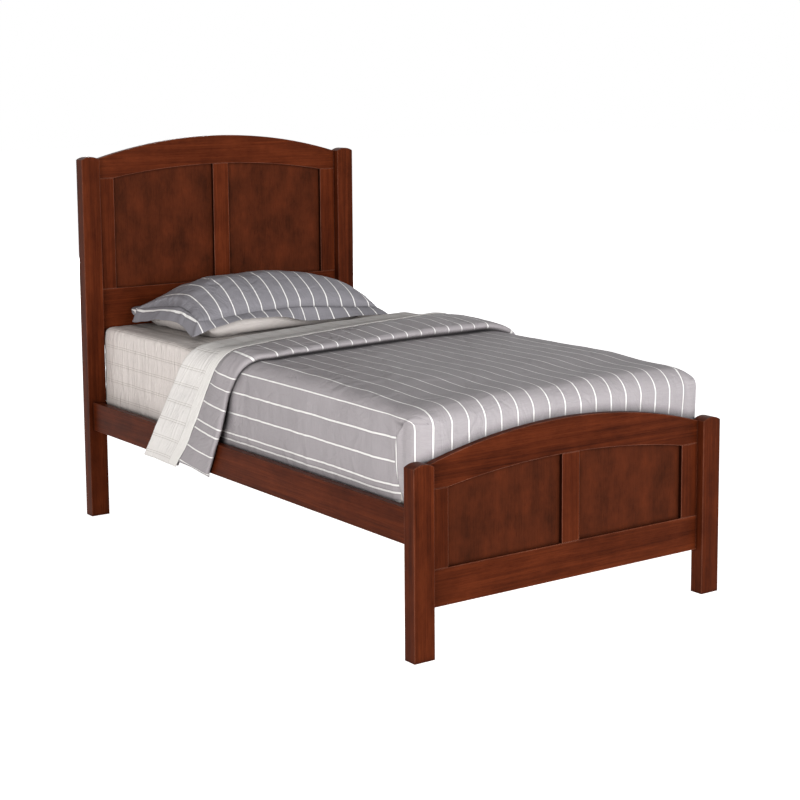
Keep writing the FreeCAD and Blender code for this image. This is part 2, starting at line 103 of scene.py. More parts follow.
def noise(x, y, seed):
    x, y = np.broadcast_arrays(np.asarray(x, float), np.asarray(y, float))
    ix, iy = np.floor(x), np.floor(y)
    fx, fy = smooth(0, 1, x - ix), smooth(0, 1, y - iy)
    a, b = lattice(ix, iy, seed), lattice(ix + 1, iy, seed)
    c, d = lattice(ix, iy + 1, seed), lattice(ix + 1, iy + 1, seed)
    return (a + (b - a) * fx) * (1 - fy) + (c + (d - c) * fx) * fy


def ripples(x, y, seed, octaves=3):
    """Noise in octaves, each half as high and twice as fine as the last."""
    total, size = 0.0, 1.0
    for octave in range(octaves):
        total = total + size * noise(x * 2 ** octave, y * 2 ** octave, seed + octave)
        size *= 0.5
    return total


def even_out(line, passes):
    """Smooths a line in place, with its ends held."""
    for _ in range(passes):
        line[1:-1] = (line[:-2] + 2 * line[1:-1] + line[2:]) / 4


def soft_curve(places, values, passes=60, count=240):
    """A smooth curve past a few control values, as a function of the place."""
    fine = np.linspace(places[0], places[-1], count)
    line = np.interp(fine, places, values)
    even_out(line, passes)
    return lambda place: np.interp(place, fine, line)


def run_length(line):
    """How far along the line each of its points lies."""
    return np.concatenate([[0.0], np.cumsum(np.linalg.norm(np.diff(line, axis=0), axis=1))])


def unit(vectors):
    return vectors / np.maximum(np.linalg.norm(vectors, axis=-1, keepdims=True), 1e-9)


# ---------------------------------------------------------------- meshes

def set_uvs(mesh, uvs):
    """The cloth's own coordinates, one pair for each point."""
    layer = mesh.uv_layers.new(name="cloth")
    corners = np.zeros(len(mesh.loops), np.int32)
    mesh.loops.foreach_get("vertex_index", corners)
    layer.data.foreach_set("uv", np.reshape(uvs, (-1, 2)).astype(np.float32)[corners].ravel())


def add_mesh(name, points, faces, uvs=None, materials=(), face_slots=None):
    mesh = bpy.data.meshes.new(name)
    mesh.from_pydata([tuple(p) for p in np.reshape(points, (-1, 3))], [], [tuple(int(i) for i in f) for f in faces])
    mesh.polygons.foreach_set("use_smooth", [True] * len(mesh.polygons))
    if uvs is not None:
        set_uvs(mesh, uvs)
    for material in materials:
        mesh.materials.append(material)
    if face_slots is not None:
        mesh.polygons.foreach_set("material_index", np.asarray(face_slots, np.int32))
    obj = bpy.data.objects.new(name, mesh)
    bpy.context.scene.collection.objects.link(obj)
    return obj


def grid_faces(rows, cols, wrap=False, flip=False):
    """Quads of a grid of rows x cols points; wrap joins the last column to the first."""
    span = cols if wrap else cols - 1
    r, c = np.meshgrid(np.arange(rows - 1), np.arange(span), indexing="ij")
    a = r * cols + c
    b = r * cols + (c + 1) % cols
    quads = np.stack([a, b, b + cols, a + cols], -1).reshape(-1, 4)
    return quads[:, ::-1] if flip else quads


def merge(obj, distance=1e-5):
    bm = bmesh.new()
    bm.from_mesh(obj.data)
    bmesh.ops.remove_doubles(bm, verts=bm.verts, dist=distance)
    bmesh.ops.dissolve_degenerate(bm, edges=bm.edges, dist=1e-7)
    bm.to_mesh(obj.data)
    bm.free()


def close_up(obj, caps=()):
    """Adds the end caps and turns every face outward."""
    bm = bmesh.new()
    bm.from_mesh(obj.data)
    bm.verts.ensure_lookup_table()
    for cap in caps:
        bm.faces.new([bm.verts[i] for i in cap])
    bmesh.ops.recalc_face_normals(bm, faces=bm.faces)
    bm.to_mesh(obj.data)
    bm.free()


def face_up(obj, above=0.0):
    """Turns the faces over if those above this height look down."""
    if sum(p.normal.z * p.area for p in obj.data.polygons if p.center.z > above) < 0:
        obj.data.flip_normals()


def points_of(obj):
    return np.array([v.co for v in obj.data.vertices])


def apply_modifiers(obj):
    graph = bpy.context.evaluated_depsgraph_get()
    made = bpy.data.meshes.new_from_object(obj.evaluated_get(graph))
    obj.modifiers.clear()
    old = obj.data
    obj.data = made
    bpy.data.meshes.remove(old)


def thicken(obj, thickness, offset=-1.0):
    solid = obj.modifiers.new("thickness", "SOLIDIFY")
    solid.thickness = thickness
    solid.offset = offset
    solid.use_even_offset = False
    apply_modifiers(obj)


# ---------------------------------------------------------------- materials

class Value:
    """One output of a node. Sums and products of values make more nodes."""

    def __init__(self, nodes, socket):
        self.nodes, self.socket = nodes, socket

    def math(self, operation, a, b=0.0):
        return self.nodes.add("ShaderNodeMath", {0: a, 1: b}, operation=operation)

    def __add__(self, other):
        return self.math("ADD", self, other)

    def __sub__(self, other):
        return self.math("SUBTRACT", self, other)

    def __rsub__(self, other):
        return self.math("SUBTRACT", other, self)

    def __mul__(self, other):
        return self.math("MULTIPLY", self, other)

    def __truediv__(self, other):
        return self.math("DIVIDE", self, other)

    def __gt__(self, other):
        return self.math("GREATER_THAN", self, other)

    def __abs__(self):
        return self.math("ABSOLUTE", self)

    def __round__(self):
        return self.math("ROUND", self)

    def sign(self):
        return self.math("SIGN", self)

    def sine(self):
        return self.math("SINE", self)

    def larger(self, other):
        return self.math("MAXIMUM", self, other)

    def clamp(self):
        """Keeps the last step's result from 0 to 1."""
        self.socket.node.use_clamp = True
        return self


class Nodes:
    """Short calls for building a node tree."""

    def __init__(self, tree):
        self.tree = tree
        tree.nodes.clear()

    def put(self, socket, value):
        if isinstance(value, Value):
            self.tree.links.new(value.socket, socket)
        elif socket.type == "RGBA":
            socket.default_value = (*value[:3], 1.0)
        else:
            socket.default_value = value

    def add(self, kind, inputs=(), out=0, **settings):
        """A new node, as the value of one of its outputs."""
        node = self.tree.nodes.new(kind)
        for key, value in settings.items():
            setattr(node, key, value)
        for key, value in dict(inputs).items():
            self.put(node.inputs[key], value)
        return Value(self, node.outputs[out])

    def end(self, kind, value):
        """The tree's output node."""
        self.put(self.tree.nodes.new(kind).inputs[0], value)

    def ramp(self, value, stops):
        made = self.add("ShaderNodeValToRGB", {0: value})
        ramp = made.socket.node.color_ramp
        while len(ramp.elements) < len(stops):
            ramp.elements.new(0.5)
        for element, (position, colour) in zip(ramp.elements, stops):
            element.position = position
            element.color = (*colour, 1.0)
        return made

    def mix(self, factor, a, b, blend="MIX"):
        return self.add("ShaderNodeMix", {0: factor, 6: a, 7: b}, 2, data_type="RGBA", blend_type=blend)

    def noise(self, vector, scale, detail, roughness=0.5, distortion=0.0, out="Fac"):
        return self.add("ShaderNodeTexNoise", {"Vector": vector, "Scale": scale, "Detail": detail,
                                               "Roughness": roughness, "Distortion": distortion}, out)

    def stretch(self, vector, *scale):
        return self.add("ShaderNodeMapping", {0: vector, "Scale": scale})

    def parts(self, vector):
        first = self.add("ShaderNodeSeparateXYZ", {0: vector})
        return [Value(self, socket) for socket in first.socket.node.outputs]

    def openness(self, reach):
        """1 where nothing is near, less in nooks and folds."""
        return self.add("ShaderNodeAmbientOcclusion", {"Distance": reach}, "AO", samples=6)

    def bump(self, height, strength, distance, normal=None):
        inputs = {"Height": height, "Strength": strength, "Distance": distance}
        if normal is not None:
            inputs["Normal"] = normal
        return self.add("ShaderNodeBump", inputs)


def new_material(name):
    """An empty material and the calls that build it."""
    material = bpy.data.materials.new(name)
    material.use_nodes = True
    return material, Nodes(material.node_tree)


def surface(n, **inputs):
    """The material's one shader; a plain number or colour goes on its own socket."""
    shader = n.add("ShaderNodeBsdfPrincipled", {key.replace("_", " "): value for key, value in inputs.items()})
    n.end("ShaderNodeOutputMaterial", shader)


def shade(colour, share):
    return tuple(c * share for c in colour)


# How each direction of the grain is turned onto X
GRAIN_TURN = {"x": (0.0, 0.0, 0.0), "y": (0.0, 0.0, -QUARTER), "z": (0.0, QUARTER, 0.0)}
# colour of the painted highlight on the wood's rounded edges
EDGE_HIGHLIGHT = (0.34, 0.15, 0.10)
EDGE_REACH, NOOK_SHADE_REACH = 0.0045, 0.013         # how far the painted edge highlight and the painted shade in joints and nooks spread


def wood(name, axis, seed, tones, figure=1.0, mottle=0.0, knots=0.0, roughness=0.36, stain_and_painted_light=True, side_shade=0.0):
    """Wood with its grain along one axis. tones are its dark, middle and light colours."""
    material, n = new_material(name)
    dark, mid, light = tones
    place = n.add("ShaderNodeTexCoord", out="Object")
    turned = n.add("ShaderNodeMapping", {0: place, "Rotation": GRAIN_TURN[axis]})
    start = (seed * 1.37, seed * 0.71, seed * 0.93)
    shifted = n.add("ShaderNodeVectorMath", {0: turned, 1: start}, operation="ADD")

    def stretched(along, across):
        return n.stretch(shifted, along, across, across)

    bend = n.noise(stretched(1.1, 4.0), 1.0, 2.0, out="Color")
    rings_in = n.add("ShaderNodeVectorMath", {0: stretched(0.8, 26.0), 1: bend}, operation="ADD")
    rings = n.noise(rings_in, 1.5, 5.0, 0.6)
    lines = n.noise(stretched(2.6, 190.0), 1.0, 2.0)
    streaks = n.noise(stretched(9.0, 520.0), 1.0, 3.0)
    pores = n.noise(stretched(38.0, 1300.0), 1.0, 1.0)
    blotches = n.noise(stretched(9.0, 14.0), 1.0, 4.0, 0.62)

    tone = rings * (0.60 * figure) + lines * (0.34 * figure) + streaks * 0.18
    tone = tone + (0.5 - (0.47 * figure + 0.09)) + (blotches - 0.5) * (0.40 + mottle)
    colour = n.ramp(tone, [(0.30, dark), (0.5, mid), (0.72, light)])
    if knots:
        cells = n.add("ShaderNodeTexVoronoi", {"Vector": stretched(2.3, 11.0), "Scale": 1.0}, "Distance")
        colour = n.mix(((0.085 - cells) / 0.05).clamp() * knots, colour, shade(dark, 0.42))
    colour = n.mix(1.0, colour, n.ramp(pores, [(0.3, (0.66, 0.62, 0.6)), (0.42, (1.0, 1.0, 1.0))]), "MULTIPLY")
    if stain_and_painted_light:
        # painted highlight along the rounded edges, and painted shade in the joints and nooks
        normal = n.add("ShaderNodeNewGeometry", out="Normal")
        rounded = n.add("ShaderNodeBevel", {"Radius": EDGE_REACH}, samples=4)
        level = n.add("ShaderNodeVectorMath", {0: rounded, 1: normal}, "Value", operation="DOT_PRODUCT")
        highlight_mask = ((1.0 - level) * 3.2).clamp() * (blotches * 1.3 - 0.05)
        colour = n.mix(highlight_mask, colour, EDGE_HIGHLIGHT)
        # painted shade where other wood is near: in joints, recesses and round the panels
        colour = n.mix((1.0 - n.openness(NOOK_SHADE_REACH)).clamp(), colour, shade(dark, 0.34))
        if side_shade:
            # painted shade on the faces that look sideways, on the recess walls round the panels
            sideways = ((abs(n.parts(normal)[0]) - 0.8) * 10.0).clamp()
            colour = n.mix(sideways * side_shade, colour, shade(dark, 0.2))
    surface(n, Base_Color=colour, Roughness=streaks * 0.18 + (roughness - 0.09),
            Normal=n.bump(streaks * 0.6 + pores * 0.5, 0.14, 0.0005),
            Specular_IOR_Level=0.03 if stain_and_painted_light else 0.4, Specular_Tint=(1.0, 0.62, 0.5))
    return material


def shade_in_folds(n, colour, reach, depth, amount):
    """Painted shade: the cloth's colour deepened where its folds close up on it."""
    return n.mix(((1.0 - n.openness(reach)) * amount).clamp(), colour, depth)


def creases(n, uv, across, along):
    """The height of fine wrinkles, this many to the metre each way."""
    return abs(n.noise(n.stretch(uv, across, along, 1.0), 1.0, 3.0, 0.55, 0.6) - 0.5)


def weave_height(n, uv, threads):
    """A plain weave's height at this many threads to the metre."""
    x, y, _ = n.parts(uv)
    return (x * (threads * 2 * math.pi)).sine() * (y * (threads * 2 * math.pi)).sine()


def band_mask(value, half_width, soft):
    """1 within half_width of zero, falling to 0 over soft."""
    return (((half_width + soft) - abs(value)) / soft).clamp()


def repeating(value, pitch, phase):
    """Distance to the nearest of evenly spaced lines."""
    moved = (value - phase) / pitch
    return (moved - round(moved)) * pitch


STRIPE_PITCH = 0.0573
STRIPE_HALF = 0.0020                  # half a stripe's width


def striped(name, ground, pitch=STRIPE_PITCH, phase=-0.0015, seam=None, hem_line=None):
    """Grey sateen with narrow woven stripes that follow the cloth's own first coordinate.

    seam is the place of a sewn seam and the step that the stripes lose there."""
    material, n = new_material(name)
    uv = n.add("ShaderNodeUVMap", uv_map="cloth")
    line_at = along = n.parts(uv)[0]
    side = abs(along)
    if seam:
        line_at = along + along.sign() * ((side > seam[0]) * seam[1])
    line_at = line_at + (n.noise(uv, 7.0, 2.0) - 0.5) * 0.005
    off = abs(repeating(line_at, pitch, phase))
    mask = band_mask(off, STRIPE_HALF, 0.0007)
    beside = band_mask(off - 0.0037, 0.0006, 0.0009)
    if hem_line:
        mask = mask.larger(band_mask(side - hem_line, STRIPE_HALF, 0.0006))
    slub = n.noise(n.stretch(uv, 24.0, 620.0, 1.0), 1.0, 3.0)
    tone = n.noise(uv, 5.5, 3.0) * 0.4 + slub * 0.6
    cloth = n.ramp(tone, [(0.3, shade(ground, 0.90)), (0.7, shade(ground, 1.10))])
    cloth = n.mix(beside * 0.35, cloth, shade(ground, 0.6))
    cloth = n.mix(mask, cloth, STRIPE_WHITE)
    woven = n.bump(weave_height(n, uv, 1600.0), 0.12, 0.0002)
    raised = n.bump(mask + slub * 0.4, 0.35, 0.0006, woven)
    # painted shade in the folds and where other things come near
    surface(n, Base_Color=shade_in_folds(n, cloth, 0.03, shade(ground, 0.25), 1.5), Roughness=slub * 0.12 + 0.38,
            Normal=n.bump(creases(n, uv, 13.0, 10.0), 1.0, 0.013, raised),
            Sheen_Weight=0.02, Sheen_Roughness=0.3, Specular_IOR_Level=0.03)
    return material


THREAD_PITCH, THREAD_PHASE = 0.061, 0.012
THREAD_APART, THREAD_HALF = 0.0036, 0.0006      # half the gap between twin threads, and half a thread
DASH = 0.006                                    # a stitch and the gap after it


def cotton(name, ground, lined=False, hem=None, strip=None, reach=0.03, wrinkle=0.007):
    """Off-white cotton, lined with fine twin threads or plain.

    hem is the place of a stitched line, and strip the colour beyond it."""
    material, n = new_material(name)
    uv = n.add("ShaderNodeUVMap", uv_map="cloth")
    x, y, _ = n.parts(uv)
    slub = n.noise(n.stretch(uv, 60.0, 700.0, 1.0), 1.0, 2.0)
    tone = n.noise(uv, 6.0, 3.0) * 0.5 + slub * 0.5
    cloth = n.ramp(tone, [(0.3, shade(ground, 0.93)), (0.7, tuple(min(1.0, c * 1.05) for c in ground))])
    relief = slub * 0.3
    thread = (ground[0] * 0.62, ground[1] * 0.6, ground[2] * 0.57)
    if lined:
        off = repeating(x + (n.noise(uv, 9.0, 1.0) - 0.5) * 0.004, THREAD_PITCH, THREAD_PHASE)
        dashes = (y * (2 * math.pi / DASH)).sine() > -0.55
        twin = band_mask(abs(off) - THREAD_APART, THREAD_HALF, THREAD_HALF)
        cloth = n.mix(twin * (dashes * 0.5 + 0.35), cloth, thread)
        relief = relief - band_mask(off, 0.003, 0.006) * 0.6
    if hem is not None:
        stitch = band_mask(y - hem, 0.0008, 0.0007)
        cloth = n.mix(stitch * 0.75, cloth, thread)
        relief = relief - stitch
        cloth = n.mix(y > hem, cloth, strip)
    woven = n.bump(weave_height(n, uv, 1100.0), 0.15, 0.0002)
    raised = n.bump(relief, 0.5, 0.0009, woven)
    # painted shade in the folds and where other things come near
    surface(n, Base_Color=shade_in_folds(n, cloth, reach, shade(ground, 0.35), 0.9), Roughness=0.82,
            Normal=n.bump(creases(n, uv, 8.0, 40.0), 1.0, wrinkle, raised),
            Sheen_Weight=0.02, Sheen_Roughness=0.5, Specular_IOR_Level=0.0)
    return material


def steel(name):
    material, n = new_material(name)
    marks = n.noise(n.stretch(n.add("ShaderNodeTexCoord", out="Object"), 300.0, 300.0, 18.0), 1.0, 3.0)
    surface(n, Base_Color=n.ramp(marks, [(0.3, (0.42, 0.42, 0.43)), (0.7, (0.68, 0.68, 0.67))]),
            Roughness=marks * 0.25 + 0.25, Normal=n.bump(marks, 0.1, 0.0002), Metallic=1.0)
    return material


QUILT_PITCH = 0.13


def ticking(name):
    """Knitted mattress cover quilted in diamonds."""
    material, n = new_material(name)
    uv = n.add("ShaderNodeUVMap", uv_map="cloth")
    x, y, _ = n.parts(uv)
    rising, falling = (band_mask(repeating(line, QUILT_PITCH, 0.0), 0.001, 0.012) for line in (x + y, x - y))
    quilt = rising.larger(falling)
    knit = n.noise(uv, 700.0, 1.0)
    knitted = n.bump(knit, 0.3, 0.0004)
    surface(n, Base_Color=n.ramp(knit - quilt * 0.2, [(0.2, (0.62, 0.61, 0.58)), (0.7, (0.8, 0.79, 0.76))]),
            Normal=n.bump(1.0 - quilt, 0.7, 0.004, knitted), Roughness=0.85)
    return material


CHERRY = [(0.034, 0.0068, 0.0026), (0.076, 0.0150, 0.0050), (0.128, 0.0265, 0.0085)]
VENEER = [(0.034, 0.0088, 0.0038), (0.068, 0.0155, 0.0060), (0.106, 0.0225, 0.0080)]
PINE = [(0.42, 0.26, 0.12), (0.6, 0.42, 0.23), (0.7, 0.53, 0.32)]
BEECH = [(0.5, 0.33, 0.19), (0.64, 0.47, 0.3), (0.72, 0.56, 0.38)]
SLOTS = {part["node"]: part["material_slot"] for part in frame["record"]["subparts"]}

for number, (name, node) in enumerate(sorted(NODES.items())):
    slot = SLOTS[name]
    seed = 1.0 + number * 2.3
    if slot == "cherry_wood":
        upright = "post" in name or "stile" in name
        axis = "z" if upright else ("y" if name.startswith("side_rail") else "x")
        # the headboard's frame pieces are painted 12 % lighter, painted light making up for the lamps' falloff
        # toward the head
        painted_light_lift = 1.12 if name.startswith("headboard") and "post" not in name else 1.0
        finish = wood(f"cherry_{name}", axis, seed, [shade(tone, painted_light_lift) for tone in CHERRY],
                      knots=0.8 if "post" in name else 0.0, side_shade=0.9 if "stile" in name else 0.0)
    elif slot == "cherry_panel":
        finish = wood(f"veneer_{name}", "z", seed, VENEER, figure=0.22, mottle=0.42, roughness=0.42)
    elif slot == "pine":
        finish = wood(f"pine_{name}", "y" if "ledger" in name else "x", seed, PINE, roughness=0.62, stain_and_painted_light=False)
    elif slot == "dowel_wood":
        finish = wood(f"dowel_{name}", "x", seed, BEECH, roughness=0.65, stain_and_painted_light=False)
    elif slot == "zinc_steel":
        finish = steel(f"zinc_{name}")
    else:
        continue
    node.data.materials.clear()
    node.data.materials.append(finish)

GREY = (0.400, 0.372, 0.388)
STRIPE_WHITE = (0.92, 0.905, 0.89)
BORDER_PITCH, BORDER_PHASE = 0.0565, 0.0284
COVER_CLOTH = striped("cover_cloth", GREY, seam=(0.6966, 0.0393), hem_line=0.727)
BORDER_CLOTH = striped("border_cloth", GREY, BORDER_PITCH, BORDER_PHASE, seam=(0.7185, 0.0318))
# a darker copy of the cover's grey, painting in the light's falloff toward the head
SHAM_CLOTH = striped("sham_cloth", (0.262, 0.254, 0.278), phase=0.0)
# the wide reach paints shade on the fitted sheet near the pillow and the headboard
SHEET_CLOTH = cotton("sheet_cloth", (0.83, 0.765, 0.73), lined=True, reach=0.12, wrinkle=0.012)
BAND_CLOTH = cotton("band_cloth", (0.92, 0.89, 0.865), lined=True, hem=-0.052, strip=(0.93, 0.905, 0.875))
# set darker than the other cottons, painting in the shade under the sham's flange
SHAM_BACK = cotton("sham_back", (0.62, 0.58, 0.56))
PILLOW_CLOTH = cotton("pillow_cloth", (0.85, 0.84, 0.81))
TICKING = ticking("ticking")


# ---------------------------------------------------------------- the dressed mattress

def wrap(u, v, grow):
    """A cloth's place on the foot end of the mattress, at a distance grow outside it.

    u runs across the bed from its middle, v toward the foot from where the foot edge starts to round over."""
    u, v = np.broadcast_arrays(np.asarray(u, float), np.asarray(v, float))
    radius = EDGE_ROUND + grow
    quarter = radius * QUARTER
    side = np.sign(u)
    lean = np.clip((np.abs(u) - FLAT_X) / radius, 0.0, QUARTER)
    dip = np.clip(v / radius, 0.0, QUARTER)
    x = side * (np.minimum(np.abs(u), FLAT_X) + radius * np.sin(lean))
    y = FOOT_Y - np.minimum(v, 0.0) - radius * np.cos(lean) * np.sin(dip)
    z = ROUND_Z + radius * np.cos(lean) * np.cos(dip)
    z = z - np.maximum(v - quarter, 0.0) - np.maximum(np.abs(u) - FLAT_X - quarter, 0.0)
    return np.stack([x, y, z], -1)


def way_out(points):
    """Unit vectors straight out from the mattress's rounded form."""
    inner = np.stack([np.clip(points[..., 0], -FLAT_X, FLAT_X), np.clip(points[..., 1], FOOT_Y, HEAD_Y),
                      np.minimum(points[..., 2], ROUND_Z)], -1)
    return unit(points - inner)


CROWN_FALL = 0.0185                   # at the left side, near the foot


def crown(x, y):
    """How far the top falls away toward the bed's left side, most near the foot and least at the head."""
    t = limit((0.28 - x) / (0.28 + FLAT_X))
    along = (0.5 + 0.5 * smooth(-0.1, -0.73, y)) * (1.0 - 0.6 * smooth(0.30, 0.50, y))
    return CROWN_FALL * (0.35 * t ** 2 + 0.65 * t ** 5) * along


def foot_fall(y):
    """How far the cover's roll at the foot lies below the rest of its top."""
    return 0.0079 * smooth(-0.62, -0.80, y) + 0.0046 * smooth(-0.86, -0.93, y)


HANGING_SHARE = 0.86                  # of the cloth's own length, to a length down the sides


def stripe_place(u):
    """The cloth's own place across, from the distance across: it lies a little looser down the sides."""
    return np.sign(u) * (np.minimum(np.abs(u), FLAT_X) + HANGING_SHARE * np.maximum(np.abs(u) - FLAT_X, 0.0))


def foot_place(u, v):
    """The cloth's own place across on the foot panel, which is drawn in toward its corners."""
    return stripe_place(u) + np.sign(u) * 0.022 * smooth(0.46, 0.53, np.abs(u)) * smooth(0.03, 0.12, v)


def cover_dents(u, v):
    """The comforter's soft unevenness, in metres along its normal."""
    top = 0.0024 * ripples(u * 4.2, v * 3.1, 11) * smooth(0.60, 0.30, u) + 0.0010 * ripples(u * 14.0, v * 9.0, 17)
    side = smooth(0.50, 0.60, np.abs(u))
    foot = smooth(0.06, 0.14, v)
    hanging = np.maximum(side, foot)
    along = np.where(side > foot, v, u)
    down = np.where(side > foot, np.abs(u), v)
    fine = 0.0013 * ripples(along * 34.0, down * 5.0, 23) + 0.0019 * ripples(along * 13.0, down * 3.2, 29)
    fine = fine + 0.0005 * ripples(along * 78.0, down * 7.0, 31)
    return top * (1.0 - 0.55 * hanging) + fine * hanging


# Where the turned-back layer's fold, the sheet's hem and the border's edge cross the bed's middle, and their slant
FOLD_Y, FOLD_SKEW = 0.375, 0.17
HEM_Y = 0.162
EDGE_Y, EDGE_SKEW = -0.075, 0.05


def fold_slant(u):
    """How far toward the head the fold has come at u; level past the mattress's sides."""
    return FOLD_SKEW * np.clip(u, -0.488, 0.488)


# How far the foot panel reaches round each corner along the side, by height
LAP_REACH = soft_curve([0.360, 0.416, 0.468, 0.522, 0.558, 0.595, 0.617, 0.631],
                       [0.006, 0.011, 0.025, 0.033, 0.031, 0.023, 0.005, 0.0], passes=12)
FOOTBOARD_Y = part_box("footboard_top_rail")[1].y


def corner_fullness(points):
    """The cloth's fullness at the foot corners, more on the right, where it is folded thick."""
    x, y, z = points[..., 0], points[..., 1], points[..., 2]
    out_x = np.maximum(np.abs(x) - FLAT_X, 0.0)
    out_y = np.maximum(FOOT_Y - y, 0.0)
    far = np.maximum(np.hypot(out_x, out_y), 1e-9)
    amount = np.where(x > 0, 0.029, 0.008)
    shift = amount * smooth(0.30, 0.90, out_x / far) * smooth(-0.79, -0.88, y)
    shift = shift * smooth(0.695, 0.635, z) * smooth(0.42, 0.52, z) * smooth(0.0, 0.03, far)
    points[..., 0] += np.sign(x) * shift * out_x / far
    points[..., 1] -= shift * out_y / far


LAP_GAP = 0.008                       # the foot panel's lap stands this far off the side panel
SLIP_DEPTH = 0.016                    # the side panel goes this far in under it


def make_cover():
    """The comforter's top, foot and sides. The foot panel laps over each side panel in a long crease."""
    radius = COVER
    quarter = radius * QUARTER
    turn = FLAT_X + quarter                      # u at the bottom of the side's rounding
    drop_side, drop_foot = 0.250, 0.255
    us = np.linspace(-turn, turn, 171)
    fold_v = FOOT_Y - (FOLD_Y - 0.010)
    top_rows, roll_rows = 170, 17
    start = fold_v - fold_slant(us)
    rows = [start * (1.0 - t) for t in np.linspace(0.0, 1.0, top_rows)]
    rows += [np.full_like(us, v) for v in np.linspace(0.0, quarter, roll_rows)[1:]]
    rows += [np.full_like(us, v) for v in quarter + np.linspace(0.0, drop_foot, 44)[1:]]
    v = np.array(rows)
    u = np.broadcast_to(us, v.shape).copy()
    points = wrap(u, v, COVER - EDGE_ROUND)
    outward = way_out(points)
    lean = np.clip((np.abs(u) - FLAT_X) / radius, 0.0, QUARTER)
    down = limit((v - quarter) / drop_foot)
    points += outward * cover_dents(u, v)[..., None]
    upward = limit(outward[..., 2])
    fall = foot_fall(points[..., 1])
    points[..., 2] -= crown(points[..., 0], points[..., 1]) * upward
    points[..., 2] -= fall * np.maximum(upward, np.cos(lean) * smooth(0.0, 0.03, v))
    points[..., 1] += (0.003 + 0.006 * smooth(-0.2, 0.45, points[..., 0])) * smooth(0.0, 0.5, down) * np.cos(lean)
    corner_fullness(points)
    points[..., 1] = np.maximum(points[..., 1], FOOTBOARD_Y + 0.0004)

    parts = [(points, np.stack([foot_place(u, v), v], -1), False)]
    for sign in (-1, 1):
        # the side panel, from the rounding's bottom down behind the rail, and on under the foot panel
        column = 0 if sign < 0 else -1
        edge = points[:top_rows, column]
        drops = np.linspace(0.0, drop_side, 40)
        vs = np.concatenate([v[:top_rows, column], np.linspace(0, 0.05, 7)[1:]])
        grid_u = np.broadcast_to(turn + drops, (len(vs), len(drops))) * sign
        grid_v = np.broadcast_to(vs[:, None], grid_u.shape)
        slip = SLIP_DEPTH * smooth(-0.072, -0.034, grid_v) * smooth(turn, turn + 0.02, np.abs(grid_u))
        side = np.empty(grid_u.shape + (3,))
        bend = np.maximum(grid_v, 0.0) / (radius - SLIP_DEPTH)
        side[..., 0] = sign * (FLAT_X + (radius - slip) * np.cos(bend))
        side[..., 1] = FOOT_Y - np.minimum(grid_v, 0.0) - (radius - slip) * np.sin(bend)
        side[..., 2] = ROUND_Z - (np.abs(grid_u) - turn)
        fallen = limit((np.abs(grid_u) - turn) / 0.22)
        bulge = 0.005 * np.sin(fallen * math.pi) * smooth(-0.05, -0.14, grid_v)
        side[..., 0] += sign * (cover_dents(grid_u, grid_v) * smooth(0.0, -0.05, grid_v) + bulge)
        corner_fullness(side)
        side[:top_rows, 0] = edge
        parts.append((side, np.stack([stripe_place(grid_u), grid_v], -1), sign > 0))

        # the foot panel's lap round the corner, over the side panel
        hang = points[top_rows + roll_rows - 2:, column]
        reach = LAP_REACH(hang[:, 2]) * (1.0 if sign < 0 else 0.8)
        share = np.linspace(0.0, 1.0, 8)[None, :]
        lap = np.repeat(hang[:, None, :], share.size, axis=1)
        lap[..., 1] += reach[:, None] * share
        lap[..., 0] += sign * LAP_GAP * smooth(0.0, 0.8, share) * smooth(0.0, 0.02, reach)[:, None]
        lap_v = np.broadcast_to(v[top_rows + roll_rows - 2:, :1], lap.shape[:2])
        lap_u = foot_place(np.full(lap_v.shape, sign * turn), lap_v) + sign * HANGING_SHARE * reach[:, None] * share
        parts.append((lap, np.stack([lap_u, lap_v], -1), sign < 0))

    faces, base = [], 0
    for grid, _, flip in parts:
        faces.append(grid_faces(*grid.shape[:2], flip=flip) + base)
        base += grid.shape[0] * grid.shape[1]
    verts = np.concatenate([grid.reshape(-1, 3) for grid, _, _ in parts])
    uvs = np.concatenate([uv.reshape(-1, 2) for _, uv, _ in parts])
    obj = add_mesh("comforter_cover", verts, np.concatenate(faces), uvs, [COVER_CLOTH])
    merge(obj, 2e-5)
    close_up(obj)
    face_up(obj)
    thicken(obj, 0.006)
    return obj


cover = make_cover()


# ---------------------------------------------------------------- what is turned back over it

def drape_path():
    """A smooth line across the bed over the comforter, from the left flap's hem to the right one's."""
    hang = RAIL_OUTER + 0.0025
    half = [(hang, 0.295), (hang, RAIL_TOP + 0.0025), (SIDE_X, ROUND_Z - 0.060)]
    half += [(FLAT_X + COVER * math.cos(a), ROUND_Z + COVER * math.sin(a)) for a in np.linspace(0, QUARTER, 9)]
    top = [(x, CREST) for x in np.linspace(-0.40, 0.40, 17)]
    line = np.array([(-x, z) for x, z in half] + top + half[::-1])
    for _ in range(2):
        gaps = run_length(line)
        even = np.linspace(0.0, gaps[-1], 420)
        line = np.stack([np.interp(even, gaps, line[:, 0]), np.interp(even, gaps, line[:, 1])], -1)
        even_out(line, 24)
    line[:, 1] -= crown(line[:, 0], 0.0) * limit((line[:, 1] - ROUND_Z) / COVER)
    gaps = run_length(line)
    return line, gaps - gaps[-1] / 2


PATH, PATH_S = drape_path()
PATH_TANGENT = unit(np.gradient(PATH, axis=0))
PATH_END = PATH_S[-1]


def on_path(s, height):
    """Points at arc length s from the middle of the bed, this high off the comforter."""
    x = np.interp(s, PATH_S, PATH[:, 0])
    z = np.interp(s, PATH_S, PATH[:, 1])
    tx = np.interp(s, PATH_S, PATH_TANGENT[:, 0])
    tz = np.interp(s, PATH_S, PATH_TANGENT[:, 1])
    over = np.abs(s) - PATH_END                   # past the hem the line runs straight on down
    z = z - np.maximum(over, 0.0)
    return x - tz * height, z + tx * height


def place_at(height):
    """Arc length from the bed's middle to where the drape line has come down to this height."""
    left = PATH_S < -FLAT_X
    return -np.interp(height, PATH[left, 1], PATH_S[left])


